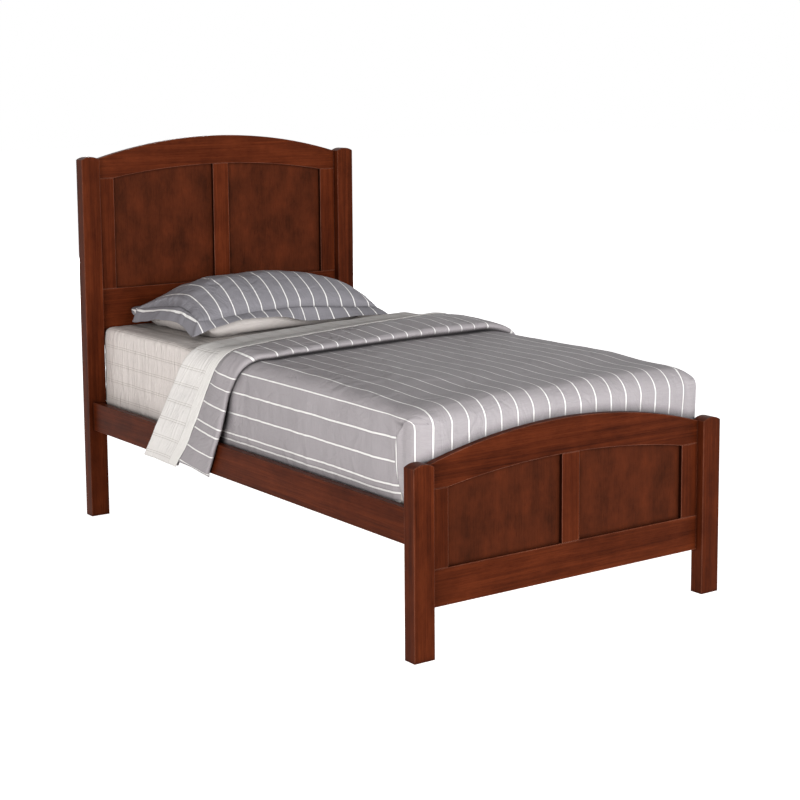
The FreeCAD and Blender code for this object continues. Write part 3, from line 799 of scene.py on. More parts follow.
# Down each flap: height, then the places of the border's edge, the sheet's hem and the fold, along the bed
LEFT_LINES = [(0.300, 0.130, 0.325, 0.556), (0.335, 0.110, 0.292, 0.523), (0.369, 0.088, 0.255, 0.494),
              (0.400, 0.072, 0.232, 0.472), (0.436, 0.055, 0.213, 0.447), (0.477, 0.047, 0.201, 0.432),
              (0.522, 0.046, 0.190, 0.415), (0.566, 0.045, 0.177, 0.398), (0.604, 0.028, 0.153, 0.375),
              (0.642, -0.005, 0.122, 0.333), (0.672, -0.045, 0.100, 0.310)]
RIGHT_LINES = [(0.300, 0.030, 0.300, 0.520), (0.400, 0.000, 0.272, 0.492), (0.500, -0.030, 0.250, 0.468),
               (0.600, -0.070, 0.234, 0.448), (0.660, -0.116, 0.226, 0.442), (0.685, -0.104, 0.230, 0.444)]


def turned_lines():
    """The same three places for every step of the drape line."""
    x = np.clip(PATH[:, 0], -FLAT_X, FLAT_X)
    made = []
    for number, (start, skew) in enumerate(((EDGE_Y, EDGE_SKEW), (HEM_Y, FOLD_SKEW), (FOLD_Y, FOLD_SKEW))):
        line = start + skew * x
        for table, hanging in ((LEFT_LINES, PATH[:, 0] < -FLAT_X), (RIGHT_LINES, PATH[:, 0] > FLAT_X)):
            heights = [row[0] for row in table] + [CREST]
            places = [row[number + 1] for row in table] + [line[hanging][0]]
            line[hanging] = np.interp(PATH[hanging, 1], heights, places)
        even_out(line, 26)
        made.append(line)
    return made


EDGE_LINE, HEM_LINE, FOLD_LINE = turned_lines()
BAND_LENGTH = 0.213                   # from the sheet's hem to its fold, on the bed


def turned(s, w, height):
    """A point of a turned-back layer: s across the bed, w toward the head from the sheet's hem line."""
    s, w, height = np.broadcast_arrays(s, w, height)
    tilt = smooth(0.46, 0.56, np.abs(s)) * np.where(s < 0, 0.10, 0.04)
    slid = s - np.sign(s) * tilt * np.minimum(w, 0.0)
    x, z = on_path(slid, height)
    hem = np.interp(s, PATH_S, HEM_LINE)
    fold = np.interp(s, PATH_S, FOLD_LINE)
    y = hem + np.where(w > 0, w * (fold - hem) / BAND_LENGTH, w)
    return np.stack([x, y, z], -1)


def border_width(s):
    """From the sheet's hem line to the border's rounded edge."""
    return np.interp(s, PATH_S, HEM_LINE) - np.interp(s, PATH_S, EDGE_LINE)


def hem_height(s):
    """How high the sheet's hem lies over the comforter: over the puffed border on the bed, flatter on the flaps."""
    lying = np.interp(s, [-0.44, -0.20, 0.10, 0.44], [0.019, 0.021, 0.027, 0.029])
    return lying + (0.0125 - lying) * smooth(0.46, 0.58, np.abs(s))


BORDER_PLACES = [place_at(z) for z in (0.591, 0.529, 0.470, 0.444, 0.384, 0.326, 0.300)]
BORDER_STRIPES = [-0.5931, -0.6496, -0.7061, -0.7308, -0.7873, -0.8438, -0.8690]


def border_stripe_place(s):
    """The border cloth's own place across, which runs a little fuller down the flaps."""
    across = [0.0, 0.4236, 0.480, 0.5330] + BORDER_PLACES
    cloth = [0.0, 0.4236, 0.4801, 0.5366] + [-place for place in BORDER_STRIPES]
    return np.sign(s) * np.interp(np.abs(s), across, cloth)


def make_tube(name, points, uvs):
    """A closed tube in the border's cloth, from its rings of points."""
    count, loop = points.shape[:2]
    obj = add_mesh(name, points, grid_faces(count, loop, wrap=True), uvs, [BORDER_CLOTH])
    close_up(obj, (list(range(loop))[::-1], [(count - 1) * loop + i for i in range(loop)]))
    return obj


def make_border():
    """The puffed, striped border: a closed, flattened tube across the bed and down both sides."""
    count, loop = 340, 64
    end = place_at(0.317)
    s = np.linspace(-end, end, count)[:, None]
    width = border_width(s)
    puff = 1.0 + 0.10 * ripples(s * 7.0, 0.0, 41) + 0.045 * ripples(s * 23.0, 0.5, 43)
    flap = smooth(0.47, 0.60, np.abs(s))
    lying = np.interp(s, [-0.44, -0.1, 0.2, 0.36, 0.47], [0.033, 0.036, 0.040, 0.039, 0.034])
    thick = (lying * (1 - flap) + 0.0175 * flap) * puff
    closing = smooth(end, end - 0.012, np.abs(s))
    thick = thick * (0.35 + 0.65 * closing)
    low = hem_height(s)
    depth = (0.024 * (1 - flap) + 0.010 * flap)
    t = np.linspace(0.0, 1.0, loop, endpoint=False)[None, :]
    # around the section: over the top from the hem to the nose, round it, and back underneath
    top = limit(t / 0.52)
    nose = limit((t - 0.52) / 0.26)
    back = limit((t - 0.78) / 0.22)
    reach = width - depth
    w = -top * reach - depth * np.sin(nose * math.pi) + back * reach
    blunt = thick * (0.76 + 0.24 * flap)             # the nose is lower than the crest, except on the flaps
    rise = low + (thick - low) * smooth(0.0, 0.45, top)
    rise = rise - (thick - blunt) * limit((top - 0.35) / 0.65) ** 2
    height = np.where(t <= 0.52, rise, blunt / 2 + blunt / 2 * np.cos(nose * math.pi))
    height = np.where(t > 0.78, 0.0, height)
    over = np.sin(limit(t / 0.78) * math.pi)
    wobble = (0.0020 * ripples(s * 11.0, top * 2.0, 47) + 0.0009 * ripples(s * 36.0, top * 3.0, 49)) * over
    height = np.maximum(height + wobble, 0.0) + 0.0006
    w = w + 0.0045 * ripples(s * 6.0, 0.3, 51) * smooth(0.3, 1.0, top) * (1 - back)
    points = turned(s, w, height)
    u = np.broadcast_to(border_stripe_place(s), w.shape)
    return make_tube("comforter_border", points, np.stack([u, -w], -1))


border = make_border()


def make_band():
    """The flat sheet's turned-down band: from its hem over the comforter, round the fold and back under."""
    count = 320
    end = place_at(0.297)
    s = np.linspace(-end, end, count)[:, None]
    flap = smooth(0.50, 0.62, np.abs(s))
    high = 0.0108
    low = -0.0158 * (1 - flap) + 0.0015 * flap
    radius = (high - low) / 2
    under = 0.120
    stations = np.concatenate([np.linspace(0, BAND_LENGTH, 40), BAND_LENGTH + np.linspace(0, 1, 12)[1:],
                               BAND_LENGTH + 1 + np.linspace(0, under, 14)[1:]])[None, :]
    over = np.clip(stations, 0.0, BAND_LENGTH)
    bend = limit(stations - BAND_LENGTH) * math.pi
    back = np.clip(stations - BAND_LENGTH - 1.0, 0.0, under)
    w = over + radius * np.sin(bend) - back - 0.006
    height = (high + low) / 2 + radius * np.cos(bend)
    height = height + (hem_height(s) + 0.0028 - high) * smooth(0.135, 0.0, over) * (bend < 1e-6)
    lying = np.sin(limit(over / BAND_LENGTH) * math.pi)
    height = height + 0.0016 * ripples(s * 6.0, over * 9.0, 61) * lying
    height = height + 0.0008 * ripples(s * 30.0, over * 14.0, 67) * (1 - bend / math.pi)
    w = w + 0.004 * ripples(s * 5.0, 0.7, 71) * smooth(0.0, BAND_LENGTH, over)
    points = turned(s, w, height)
    arc = over + radius * bend + back
    thread = s + place_at(0.619) + THREAD_PHASE - 9 * THREAD_PITCH
    uvs = np.stack([np.broadcast_to(thread, arc.shape), -arc], -1)
    obj = add_mesh("flat_sheet_band", points, grid_faces(*arc.shape), uvs, [BAND_CLOTH])
    face_up(obj, above=0.70)
    thicken(obj, 0.0022)
    return obj


band = make_band()


def make_turned_layer():
    """The comforter's own turned-back layer, under the sheet's band; its rounded fold shows at the flaps' hems."""
    count, loop = 160, 40
    end = place_at(0.299)
    s = np.linspace(-end, end, count)[:, None]
    t = np.linspace(0.0, 2 * math.pi, loop, endpoint=False)[None, :]
    w = 0.098 + 0.101 * np.sign(np.cos(t)) * np.abs(np.cos(t)) ** 0.35
    half = 0.0036 + 0.5 * (hem_height(s) - 0.0125) * smooth(0.12, 0.0, w) * smooth(0.56, 0.46, np.abs(s))
    height = 0.0008 + half * (1.0 + np.sign(np.sin(t)) * np.abs(np.sin(t)) ** 0.5)
    uvs = np.stack(np.broadcast_arrays(border_stripe_place(s), w), -1)
    return make_tube("comforter_fold", turned(s, w, height), uvs)


fold_layer = make_turned_layer()


# ---------------------------------------------------------------- sheets and mattress

def rounded_block(grow, bottom, step, open_below, plan=2.0, edge=2.0):
    """Points and faces of the mattress's form moved out by grow: (points, faces).

    plan and edge above 2 square off the corners and the top's edge at the head."""
    radius = EDGE_ROUND + grow
    low = Vector((-FLAT_X, FOOT_Y, bottom))
    high = Vector((FLAT_X, HEAD_Y, ROUND_Z))
    nx = max(2, round((high.x - low.x) / step))
    ny = max(2, round((high.y - low.y) / step))
    nz = max(2, round((high.z - bottom) / step))
    arcs = 12
    turn = np.linspace(0.0, QUARTER, arcs + 1)
    xs, ys = np.linspace(low.x, high.x, nx + 1), np.linspace(low.y, high.y, ny + 1)
    square = 2.0 / plan
    # the rim goes round the top's flat: its place and the way out from it
    rim = [(x, low.y, 0.0, -1.0) for x in xs]
    rim += [(high.x, low.y, math.sin(a), -math.cos(a)) for a in turn[1:-1]]
    rim += [(high.x, y, 1.0, 0.0) for y in ys]
    rim += [(high.x, high.y, math.cos(a) ** square, math.sin(a) ** square) for a in turn[1:-1]]
    rim += [(x, high.y, 0.0, 1.0) for x in xs[::-1]]
    rim += [(low.x, high.y, -math.sin(a) ** square, math.cos(a) ** square) for a in turn[1:-1]]
    rim += [(low.x, y, -1.0, 0.0) for y in ys[::-1]]
    rim += [(low.x, low.y, -math.cos(a), -math.sin(a)) for a in turn[1:-1]]
    rim = np.array(rim)
    power = 2.0 / (2.0 + (edge - 2.0) * smooth(0.15, 0.42, rim[:, 1]))
    rings = []
    for a in turn:
        out = radius * math.sin(a) ** power
        rings.append(np.stack([rim[:, 0] + rim[:, 2] * out, rim[:, 1] + rim[:, 3] * out,
                               ROUND_Z + radius * max(math.cos(a), 0.0) ** power], -1))
    for z in np.linspace(ROUND_Z, bottom, nz + 1)[1:]:
        ring = rings[arcs].copy()
        ring[:, 2] = z
        rings.append(ring)
    top_x, top_y = np.meshgrid(xs, ys, indexing="ij")
    top = np.stack([top_x, top_y, np.full_like(top_x, ROUND_Z + radius)], -1)
    verts = np.concatenate([top.reshape(-1, 3)] + rings)
    base = (nx + 1) * (ny + 1)
    size = len(rim)
    faces = [tuple(f) for f in grid_faces(nx + 1, ny + 1, flip=True)]
    faces += [tuple(f) for f in grid_faces(len(rings), size, wrap=True) + base]
    if not open_below:
        faces.append(tuple(base + (len(rings) - 1) * size + i for i in range(size)))
    return verts, faces


def across_length(points, radius):
    """Arc length across the bed, over the top and down the sides."""
    x, z = points[:, 0], points[:, 2]
    beyond = np.maximum(np.abs(x) - FLAT_X, 0.0)
    angle = np.arctan2(beyond, np.maximum(z - ROUND_Z, 1e-6))
    arc = np.where(z > ROUND_Z, radius * angle, radius * QUARTER + (ROUND_Z - z))
    return np.sign(x) * np.where(beyond > 1e-6, FLAT_X + arc, np.abs(x))


SHEET_OUT = 0.0023                    # how far the fitted sheet lies outside the mattress


def sheet_top(x, y):
    """Height of the fitted sheet's top."""
    return ROUND_Z + EDGE_ROUND + SHEET_OUT - crown(x, y)


def make_fitted_sheet():
    verts, faces = rounded_block(SHEET_OUT, 0.362, 0.0095, True, plan=8.0, edge=4.0)
    u = across_length(verts, EDGE_ROUND + SHEET_OUT)
    outward = way_out(verts)
    hanging = smooth(0.47, 0.58, np.abs(u))
    dents = 0.0013 * ripples(u * 5.0, verts[:, 1] * 4.0, 81) * (1 - hanging)
    dents = dents + hanging * (0.0014 * ripples(verts[:, 1] * 16.0, verts[:, 2] * 5.0, 87)
                               + 0.0010 * ripples(verts[:, 1] * 46.0, verts[:, 2] * 9.0, 89))
    off_thread = (np.abs(u) - THREAD_PHASE + THREAD_PITCH / 2) % THREAD_PITCH - THREAD_PITCH / 2
    pinch = 0.0016 * np.exp(-(off_thread / 0.006) ** 2)
    verts = verts + outward * (dents - pinch)[:, None]
    verts[:, 2] -= crown(verts[:, 0], verts[:, 1]) * limit(outward[:, 2])
    # the head's corners stand square against the headboard
    full = smooth(0.78, 0.93, verts[:, 1]) * smooth(ROUND_Z + EDGE_ROUND, ROUND_Z, verts[:, 2])
    verts[:, 0] += 0.0024 * full * np.sign(verts[:, 0]) * (np.abs(outward[:, 0]) > 0.3)
    verts[:, 1] += 0.0042 * full * (outward[:, 1] > 0.3)
    obj = add_mesh("fitted_sheet_cloth", verts, faces, np.stack([u, verts[:, 1]], -1), [SHEET_CLOTH])
    merge(obj)
    close_up(obj)
    face_up(obj)
    thicken(obj, 0.0018)
    return obj


fitted = make_fitted_sheet()


def make_mattress():
    verts, faces = rounded_block(-0.002, 0.346, 0.03, False)
    u = across_length(verts, 0.043)
    top = verts[:, 2] > ROUND_Z + 0.03
    verts[:, 2] -= np.where(top, crown(verts[:, 0], verts[:, 1]) + 0.0025, 0.0)
    uvs = np.stack([u, verts[:, 1] + np.minimum(verts[:, 2], 0.4)], -1)
    obj = add_mesh("mattress_body", verts, faces, uvs, [TICKING])
    merge(obj)
    close_up(obj)
    return obj


mattress = make_mattress()


def make_sheet_under():
    """The part of the flat sheet that lies under the comforter and is tucked in with it."""
    us = np.linspace(-0.76, 0.76, 90)
    start = FOOT_Y - (FOLD_Y - 0.10) - fold_slant(us)
    rows = [start * (1 - t) for t in np.linspace(0, 1, 70)]
    rows += [np.full_like(us, v) for v in np.linspace(0, 0.30, 28)[1:]]
    v = np.array(rows)
    u = np.broadcast_to(us, v.shape)
    squeeze = np.where(v > 0, np.clip(u, -0.51, 0.51), u)
    points = wrap(squeeze, v, 0.0040)
    upward = limit((points[..., 2] - ROUND_Z) / 0.049)
    points[..., 2] -= crown(points[..., 0], points[..., 1]) * upward
    points[..., 2] -= foot_fall(points[..., 1]) * smooth(ROUND_Z, ROUND_Z + 0.03, points[..., 2])
    points[..., 2] = np.maximum(points[..., 2], 0.384)
    obj = add_mesh("flat_sheet_under", points, grid_faces(*v.shape), np.stack([u, v], -1), [SHEET_CLOTH])
    merge(obj, 2e-5)
    thicken(obj, 0.0015)
    return obj


under_sheet = make_sheet_under()


# ---------------------------------------------------------------- pillow and sham

PILLOW_X, PILLOW_Y = -0.0235, 0.700
PILLOW_HALF_X, PILLOW_HALF_Y = 0.3615, 0.225
PILLOW_LOW_X, PILLOW_LOW_Y = PILLOW_X - PILLOW_HALF_X, PILLOW_Y - PILLOW_HALF_Y
CROWN_HEIGHT = 0.084
DRAWN_X, DRAWN_Y = 0.008, 0.006       # how far the middle of each side is drawn in

# The seam's height along the pillow's front, left, right and back
SEAM_FRONT = soft_curve([-0.385, -0.25, -0.15, -0.02, 0.10, 0.20, 0.338],
                        [0.737, 0.747, 0.755, 0.754, 0.745, 0.736, 0.725])
SEAM_ALONG = [0.475, 0.53, 0.61, 0.70, 0.82, 0.925]
SEAM_LEFT = soft_curve(SEAM_ALONG, [0.737, 0.755, 0.770, 0.762, 0.746, 0.732])
SEAM_RIGHT = soft_curve(SEAM_ALONG, [0.725, 0.750, 0.770, 0.762, 0.746, 0.735])
SEAM_BACK = soft_curve([-0.385, -0.15, 0.10, 0.338], [0.732, 0.736, 0.737, 0.735])
# The height of the flange's outer edge
FLANGE_FRONT = soft_curve([-0.435, -0.372, -0.307, -0.249, -0.191, -0.12, -0.052, 0.009, 0.07, 0.132, 0.238,
                           0.345, 0.390],
                          [0.690, 0.711, 0.725, 0.738, 0.738, 0.735, 0.728, 0.711, 0.704, 0.703, 0.709,
                           0.706, 0.700], 20)
FLANGE_LEFT = soft_curve([0.43, 0.484, 0.573, 0.66, 0.74, 0.83, 0.916, 0.97],
                         [0.688, 0.684, 0.721, 0.724, 0.717, 0.700, 0.685, 0.690], 20)
# How far the belly stands out in front of the seam where it meets the bed
BELLY_FRONT = soft_curve([-0.385, -0.33, -0.207, 0.015, 0.164, 0.338], [0.022, 0.042, 0.036, 0.004, -0.026, -0.040])
# Where the sham's stripes cross its top
SHAM_STRIPES = [-0.432, -0.387, -0.342, -0.293, -0.242, -0.187, -0.136, -0.080, -0.027, 0.025, 0.083, 0.141, 0.200,
                0.255, 0.311, 0.362, 0.412]


def sham_stripe_place(x):
    count = (len(SHAM_STRIPES) - 1) / 2
    return np.interp(x, SHAM_STRIPES, np.linspace(-count, count, len(SHAM_STRIPES)) * STRIPE_PITCH)


def seam_height(x, y):
    """Height of a smooth sheet spanned by the pillow's seam."""
    a = limit((x - PILLOW_LOW_X) / (2 * PILLOW_HALF_X))
    b = limit((y - PILLOW_LOW_Y) / (2 * PILLOW_HALF_Y))
    front, back, left, right = SEAM_FRONT(x), SEAM_BACK(x), SEAM_LEFT(y), SEAM_RIGHT(y)
    corners = [[0.737, 0.732], [0.725, 0.735]]
    flat = sum(corners[i][j] * (a if i else 1 - a) * (b if j else 1 - b) for i in (0, 1) for j in (0, 1))
    return (1 - b) * front + b * back + (1 - a) * left + a * right - flat


def pillow_crown(x, y):
    """Height of the pillow's top above its seam."""
    a = limit(np.abs(x - PILLOW_X) / PILLOW_HALF_X)
    b = limit(np.abs(y - PILLOW_Y) / PILLOW_HALF_Y)
    flank = 0.018 * np.exp(-((x + 0.250) / 0.085) ** 2)
    return (CROWN_HEIGHT * (1.0 - a * a) ** 0.6 + flank * (1.0 - a ** 8)) * (1.0 - b * b) ** 0.6


def make_pillow_form(shrink):
    """A closed pillow: crowned top, a belly that stands out over its seam in front, flat where it lies."""
    nx, ny = 81, 55
    gx, gy = np.meshgrid(*(np.sin(np.linspace(-QUARTER, QUARTER, n)) for n in (nx, ny)), indexing="ij")
    full_x, full_y = PILLOW_X + gx * PILLOW_HALF_X, PILLOW_Y + gy * PILLOW_HALF_Y
    x = full_x - np.sign(gx) * DRAWN_X * np.abs(gx) * (1 - gy ** 2)
    y = full_y - np.sign(gy) * DRAWN_Y * np.abs(gy) * (1 - gx ** 2)
    seam = seam_height(full_x, full_y)
    inner = (1 - gx ** 8) * (1 - gy ** 8)
    top = seam + pillow_crown(full_x, full_y) - shrink * inner
    bed = sheet_top(x, y) + 0.0006
    depth = ((1.0 - gx ** 8) * (1.0 - gy ** 8)) ** 0.5
    bottom = seam - (seam - bed + 0.004) * limit(depth * 1.25)
    bottom = np.maximum(bottom, bed)
    sunk = limit((seam - bottom) / np.maximum(seam - bed, 1e-6))
    out = np.sin(sunk * QUARTER)
    low_y = y - BELLY_FRONT(full_x) * out * smooth(0.4, 1.0, -gy) - 0.018 * out * smooth(0.5, 1.0, gy)
    low_x = x + 0.022 * out * smooth(0.5, 1.0, -gx) - 0.030 * out * smooth(0.5, 1.0, gx)
    upper = np.stack([x, y, np.maximum(top, bottom + 0.0015)], -1).reshape(-1, 3)
    lower = np.stack([low_x, low_y, bottom], -1).reshape(-1, 3)
    faces = [tuple(f) for f in grid_faces(nx, ny)] + [tuple(f) for f in grid_faces(nx, ny, flip=True) + nx * ny]
    rim = [i * ny for i in range(nx)] + [(nx - 1) * ny + j for j in range(1, ny)]
    rim += [i * ny + ny - 1 for i in range(nx - 2, -1, -1)] + [j for j in range(ny - 2, 0, -1)]
    faces += [(a, b, b + nx * ny, a + nx * ny) for a, b in zip(rim, rim[1:] + rim[:1])]
    return np.concatenate([upper, lower]), faces


def inflate(obj, pressure, cap, frames=20, voxel=0.0055):
    """Remeshes the form and blows it up in a short cloth simulation. Returns its points, moved by cap at most."""
    scene = bpy.context.scene
    remesh = obj.modifiers.new("remesh", "REMESH")
    remesh.mode = "VOXEL"
    remesh.voxel_size = voxel
    remesh.use_smooth_shade = True
    apply_modifiers(obj)
    rest = points_of(obj)
    cloth = obj.modifiers.new("cloth", "CLOTH")
    settings = cloth.settings
    settings.quality = 6
    settings.mass = 0.25
    settings.tension_stiffness = 12.0
    settings.compression_stiffness = 8.0
    settings.shear_stiffness = 6.0
    settings.bending_stiffness = 0.08
    settings.use_pressure = True
    settings.uniform_pressure_force = pressure
    settings.shrink_min = -0.035
    settings.effector_weights.gravity = 0.0
    cloth.collision_settings.use_collision = False
    scene.frame_start, scene.frame_end = 1, frames
    cloth.point_cache.frame_start, cloth.point_cache.frame_end = 1, frames
    for number in range(1, frames + 1):
        scene.frame_set(number)
    apply_modifiers(obj)
    scene.frame_set(1)
    move = points_of(obj) - rest
    far = np.linalg.norm(move, axis=1, keepdims=True)
    return rest + move * np.minimum(1.0, cap / np.maximum(far, 1e-9))


def settle(points):
    """Nothing goes below the bed."""
    points[:, 2] = np.maximum(points[:, 2], sheet_top(points[:, 0], points[:, 1]) + 0.0005)
    return points


def write_points(obj, points):
    obj.data.vertices.foreach_set("co", np.asarray(points, np.float32).ravel())
    obj.data.update()


SHAM_BACK_Y, FLANGE_BACK_Y = 0.9755, 0.9775     # the headboard stops them here


def make_sham():
    verts, faces = make_pillow_form(0.003)
    body = add_mesh("sham_body", verts, faces, None, [SHAM_CLOTH, SHAM_BACK])
    close_up(body)
    points = settle(inflate(body, 3.0, 0.008))
    points[:, 1] = np.minimum(points[:, 1], SHAM_BACK_Y)
    # drag lines and soft dents
    x, y = points[:, 0] - PILLOW_X, points[:, 1] - PILLOW_Y
    seam = seam_height(points[:, 0], points[:, 1])
    above = smooth(seam, seam + 0.03, points[:, 2])
    middle = limit(1 - (x / PILLOW_HALF_X) ** 6) * limit(1 - (y / PILLOW_HALF_Y) ** 6)
    dents = 0.0015 * ripples(x * 9.0, y * 4.0, 101) + 0.0013 * ripples(x * 28.0, y * 9.0, 103)
    points[:, 2] += above * middle * dents
    write_points(body, points)
    smooth_mod = body.modifiers.new("sub", "SUBSURF")
    smooth_mod.levels = smooth_mod.render_levels = 1
    apply_modifiers(body)
    mesh = body.data
    x, y, z = points_of(body).T
    set_uvs(mesh, np.stack([sham_stripe_place(x), y + (z - seam_height(x, y))], -1))
    centres = np.array([p.center for p in mesh.polygons])
    below = centres[:, 2] < seam_height(centres[:, 0], centres[:, 1]) - 0.006
    mesh.polygons.foreach_set("material_index", below.astype(np.int32))
    mesh.polygons.foreach_set("use_smooth", [True] * len(mesh.polygons))
    return body


sham = make_sham()


def seam_loop(count):
    """Points round the pillow's seam with the way out from each: x, y, nx, ny."""
    hx, hy, r = PILLOW_HALF_X, PILLOW_HALF_Y, 0.010
    sides = [((-hx + r, -hy), (hx - r, -hy), (0, -1), count // 3),
             ((hx, -hy + r), (hx, hy - r), (1, 0), count // 6),
             ((hx - r, hy), (-hx + r, hy), (0, 1), count // 3),
             ((-hx, hy - r), (-hx, -hy + r), (-1, 0), count // 6)]
    out = []
    for a, b, n, m in sides:
        out += [(a[0] + (b[0] - a[0]) * t, a[1] + (b[1] - a[1]) * t, *n) for t in np.linspace(0, 1, m)]
        cx = b[0] if n[0] == 0 else b[0] - n[0] * r
        cy = b[1] if n[1] == 0 else b[1] - n[1] * r
        for t in np.linspace(0, 1, 12)[1:-1]:
            angle = math.atan2(n[1], n[0]) + QUARTER * t
            out.append((cx + r * math.cos(angle), cy + r * math.sin(angle), math.cos(angle), math.sin(angle)))
    out = np.array(out)
    out[:, 0] += PILLOW_X
    out[:, 1] += PILLOW_Y
    return out


FLANGE_WIDTH = 0.050


def make_flange():
    """The sham's flat flange: two layers of cloth round the seam, waving in front, drooping at the corners."""
    ring = seam_loop(420)
    x, y, nx, ny = ring.T
    a, b = (x - PILLOW_X) / PILLOW_HALF_X, (y - PILLOW_Y) / PILLOW_HALF_Y
    start_x = x - nx * DRAWN_X * limit(1 - b ** 2)
    start_y = y - ny * DRAWN_Y * limit(1 - a ** 2)
    seam = seam_height(x, y)
    corner = 1.0 / np.maximum(np.maximum(np.abs(nx), np.abs(ny)), 0.707)
    back_left = limit(-nx) * limit(ny) * 2.0
    corner = corner * (1.0 - 0.60 * back_left)
    width = FLANGE_WIDTH * corner
    weights = [limit(-ny) ** 2, limit(ny) ** 2, limit(-nx) ** 2, limit(nx) ** 2]
    reach_x, reach_y = x + nx * 0.03 * corner, y + ny * 0.03 * corner
    heights = [FLANGE_FRONT(reach_x), seam + 0.016 * smooth(-0.40, -0.20, x), FLANGE_LEFT(reach_y),
               SEAM_RIGHT(y) - 0.042]
    outer = sum(w * h for w, h in zip(weights, heights))
    for _ in range(10):
        outer = (np.roll(outer, 1) + 2 * outer + np.roll(outer, -1)) / 4
    drop = np.clip(np.abs(seam - outer), 0.0, 0.046)
    reach = np.sqrt(np.maximum(width ** 2 - drop ** 2, (0.3 * width) ** 2))
    run = run_length(ring[:, :2])
    steps, half, inset = 12, 0.0012, 0.006
    layers = []
    for level in (1, -1):
        grid = np.empty((len(ring), steps, 3))
        for j, t in enumerate(np.linspace(0, 1, steps)):
            out = -inset + (reach + inset) * t
            px, py = start_x + nx * out, start_y + ny * out
            clear = limit(out / reach)
            wave = 0.0016 * ripples(run * 17.0, t * 1.5, 111) * t
            pz = seam + 0.001 + (outer - seam) * clear ** 1.3 + wave + level * half * (1 - 0.6 * t ** 6)
            pz = np.maximum(pz, sheet_top(px, py) + 0.0012 + level * half)
            grid[:, j] = np.stack([px, np.minimum(py, FLANGE_BACK_Y), pz], -1)
        layers.append(grid)
    loop = np.concatenate([layers[0], layers[1][:, ::-1]], axis=1)
    count, cols = loop.shape[:2]
    ringed = np.concatenate([loop, loop[:1]], axis=0)
    uvs = np.stack([sham_stripe_place(ringed[..., 0]), ringed[..., 1]], -1)
    slots = np.tile(np.array([0] * steps + [1] * steps), count)
    faces = grid_faces(count + 1, cols, wrap=True)
    obj = add_mesh("sham_flange", ringed, faces, uvs, [SHAM_CLOTH, SHAM_BACK], slots)
    merge(obj, 1e-6)
    close_up(obj)
    return obj


flange = make_flange()


def make_pillow():
    verts, faces = make_pillow_form(0.012)
    centre = np.array([PILLOW_X, PILLOW_Y, 0.750])
    verts = centre + (verts - centre) * np.array([0.95, 0.91, 0.90])
    verts[:, 2] = np.maximum(verts[:, 2], sheet_top(verts[:, 0], verts[:, 1]) + 0.003)
    obj = add_mesh("pillow_inner", verts, faces, verts[:, :2], [PILLOW_CLOTH])
    close_up(obj)
    return obj


pillow = make_pillow()


# ---------------------------------------------------------------- what each piece stands for

def dress(obj, slot, *nodes):
    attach(obj, "root")
    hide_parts(*nodes)


dress(cover, "striped_cover", "comforter")
dress(border, "striped_cover", "comforter")
dress(fold_layer, "striped_cover", "comforter")
dress(band, "sheet_cotton", "flat_sheet")
dress(under_sheet, "sheet_cotton", "flat_sheet")
dress(fitted, "sheet_cotton", "fitted_sheet")
dress(mattress, "ticking", "mattress")
dress(sham, "striped_cover", "pillow_sham")
dress(flange, "striped_cover", "pillow_sham")
dress(pillow, "pillow_cotton", "pillow")


# ---------------------------------------------------------------- floor, light and camera

def seen_ray(n):
    """1 for the camera's rays and for what they meet in a gloss or through glass, else 0."""
    rays = n.add("ShaderNodeLightPath").socket.node.outputs
    camera, glossy, passed = (Value(n, rays[f"Is {kind} Ray"]) for kind in ("Camera", "Glossy", "Transmission"))
    return camera.larger(glossy.larger(passed))


def make_floor():
    size, low = 30.0, -0.0005
    corners = [(-size, -size, low), (size, -size, low), (size, size, low), (-size, size, low)]
    obj = add_mesh("floor", corners, [(0, 1, 2, 3)])
    material, n = new_material("floor_white")
    plain = n.add("ShaderNodeBsdfDiffuse", {"Color": (0.8, 0.8, 0.8)})
    dull = n.add("ShaderNodeBsdfDiffuse", {"Color": (0.95, 0.95, 0.95)})
    glow = n.add("ShaderNodeEmission", {"Color": (1.0, 1.0, 1.0), "Strength": 0.90})
    shown = n.add("ShaderNodeAddShader", {0: dull, 1: glow})
    n.end("ShaderNodeOutputMaterial", n.add("ShaderNodeMixShader", {0: seen_ray(n), 1: plain, 2: shown}))
    obj.data.materials.append(material)
    obj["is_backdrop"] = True


make_floor()


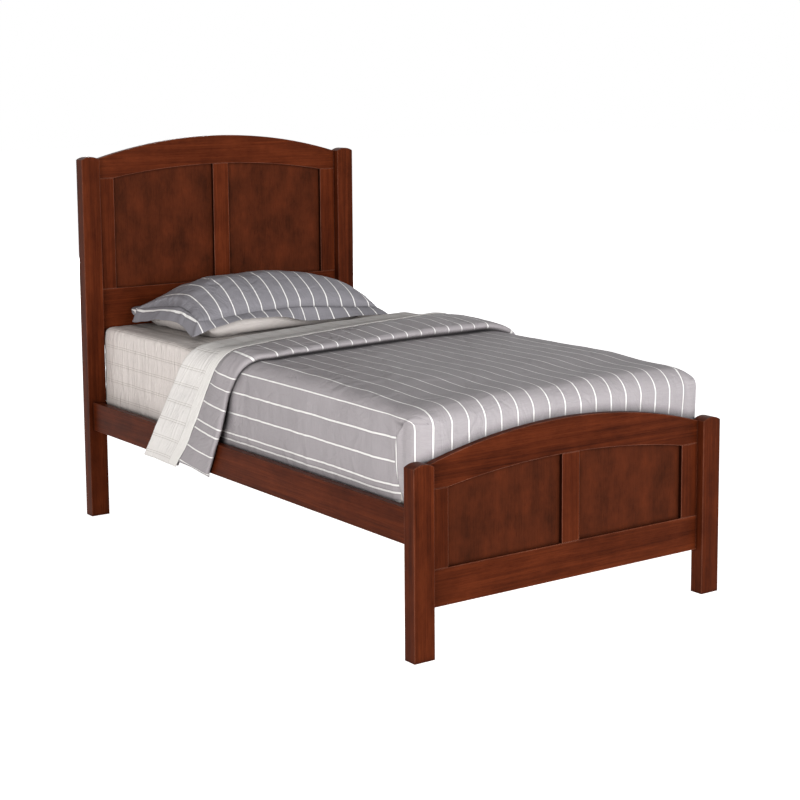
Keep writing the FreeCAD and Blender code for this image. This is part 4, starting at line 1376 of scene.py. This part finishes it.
def make_world():
    """Dim light from all round, and white past the floor's edge."""
    world = bpy.data.worlds.new("studio")
    bpy.context.scene.world = world
    world.use_nodes = True
    n = Nodes(world.node_tree)
    lit, shown = (n.add("ShaderNodeBackground", {"Color": (1.0, 1.0, 1.0), "Strength": s}) for s in (0.12, 1.0))
    n.end("ShaderNodeOutputWorld", n.add("ShaderNodeMixShader", {0: seen_ray(n), 1: lit, 2: shown}))


make_world()


def area_light(name, place, aim, size, power, colour=(1.0, 1.0, 1.0)):
    light = bpy.data.lights.new(name, "AREA")
    light.shape = "RECTANGLE"
    light.size, light.size_y = size
    light.energy = power
    light.color = colour
    obj = bpy.data.objects.new(name, light)
    bpy.context.scene.collection.objects.link(obj)
    obj.location = place
    obj.rotation_euler = (Vector(aim) - Vector(place)).to_track_quat("-Z", "Y").to_euler()


area_light("key", (-7.4, -4.7, 1.8), (0.0, -0.1, 0.6), (4.2, 3.0), 605.0, (1.0, 0.985, 0.97))
area_light("front", (1.0, -9.3, 2.3), (0.0, -0.1, 0.6), (4.2, 3.0), 570.0)
area_light("back", (2.0, 9.5, 1.3), (0.0, 0.3, 0.6), (5.0, 2.2), 420.0)
area_light("right", (8.8, -1.5, 1.2), (0.0, -0.1, 0.5), (5.0, 2.0), 290.0)


def make_camera():
    data = bpy.data.cameras.new("camera")
    data.sensor_width = 36.0
    data.lens = 78.74
    data.shift_y = -0.125
    data.clip_end = 60.0
    camera = bpy.data.objects.new("camera", data)
    bpy.context.scene.collection.objects.link(camera)
    yaw, pitch, roll = (math.radians(a) for a in (-35.3, -7.39, -0.41))
    forward = Vector((-math.sin(yaw) * math.cos(pitch), math.cos(yaw) * math.cos(pitch), math.sin(pitch)))
    right = forward.cross(Vector((0, 0, 1))).normalized()
    up = right.cross(forward)
    turned_right = right * math.cos(roll) + up * math.sin(roll)
    turned_up = up * math.cos(roll) - right * math.sin(roll)
    turn = Matrix((turned_right, turned_up, -forward)).transposed().to_4x4()
    camera.matrix_world = Matrix.Translation((-3.17695, -4.63726, 1.55665)) @ turn
    bpy.context.scene.camera = camera


make_camera()
bpy.context.scene.view_settings.view_transform = "Standard"

visual_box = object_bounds()
{"cad": [list(c) for c in CAD_BOX], "visual": [list(c) for c in visual_box]}
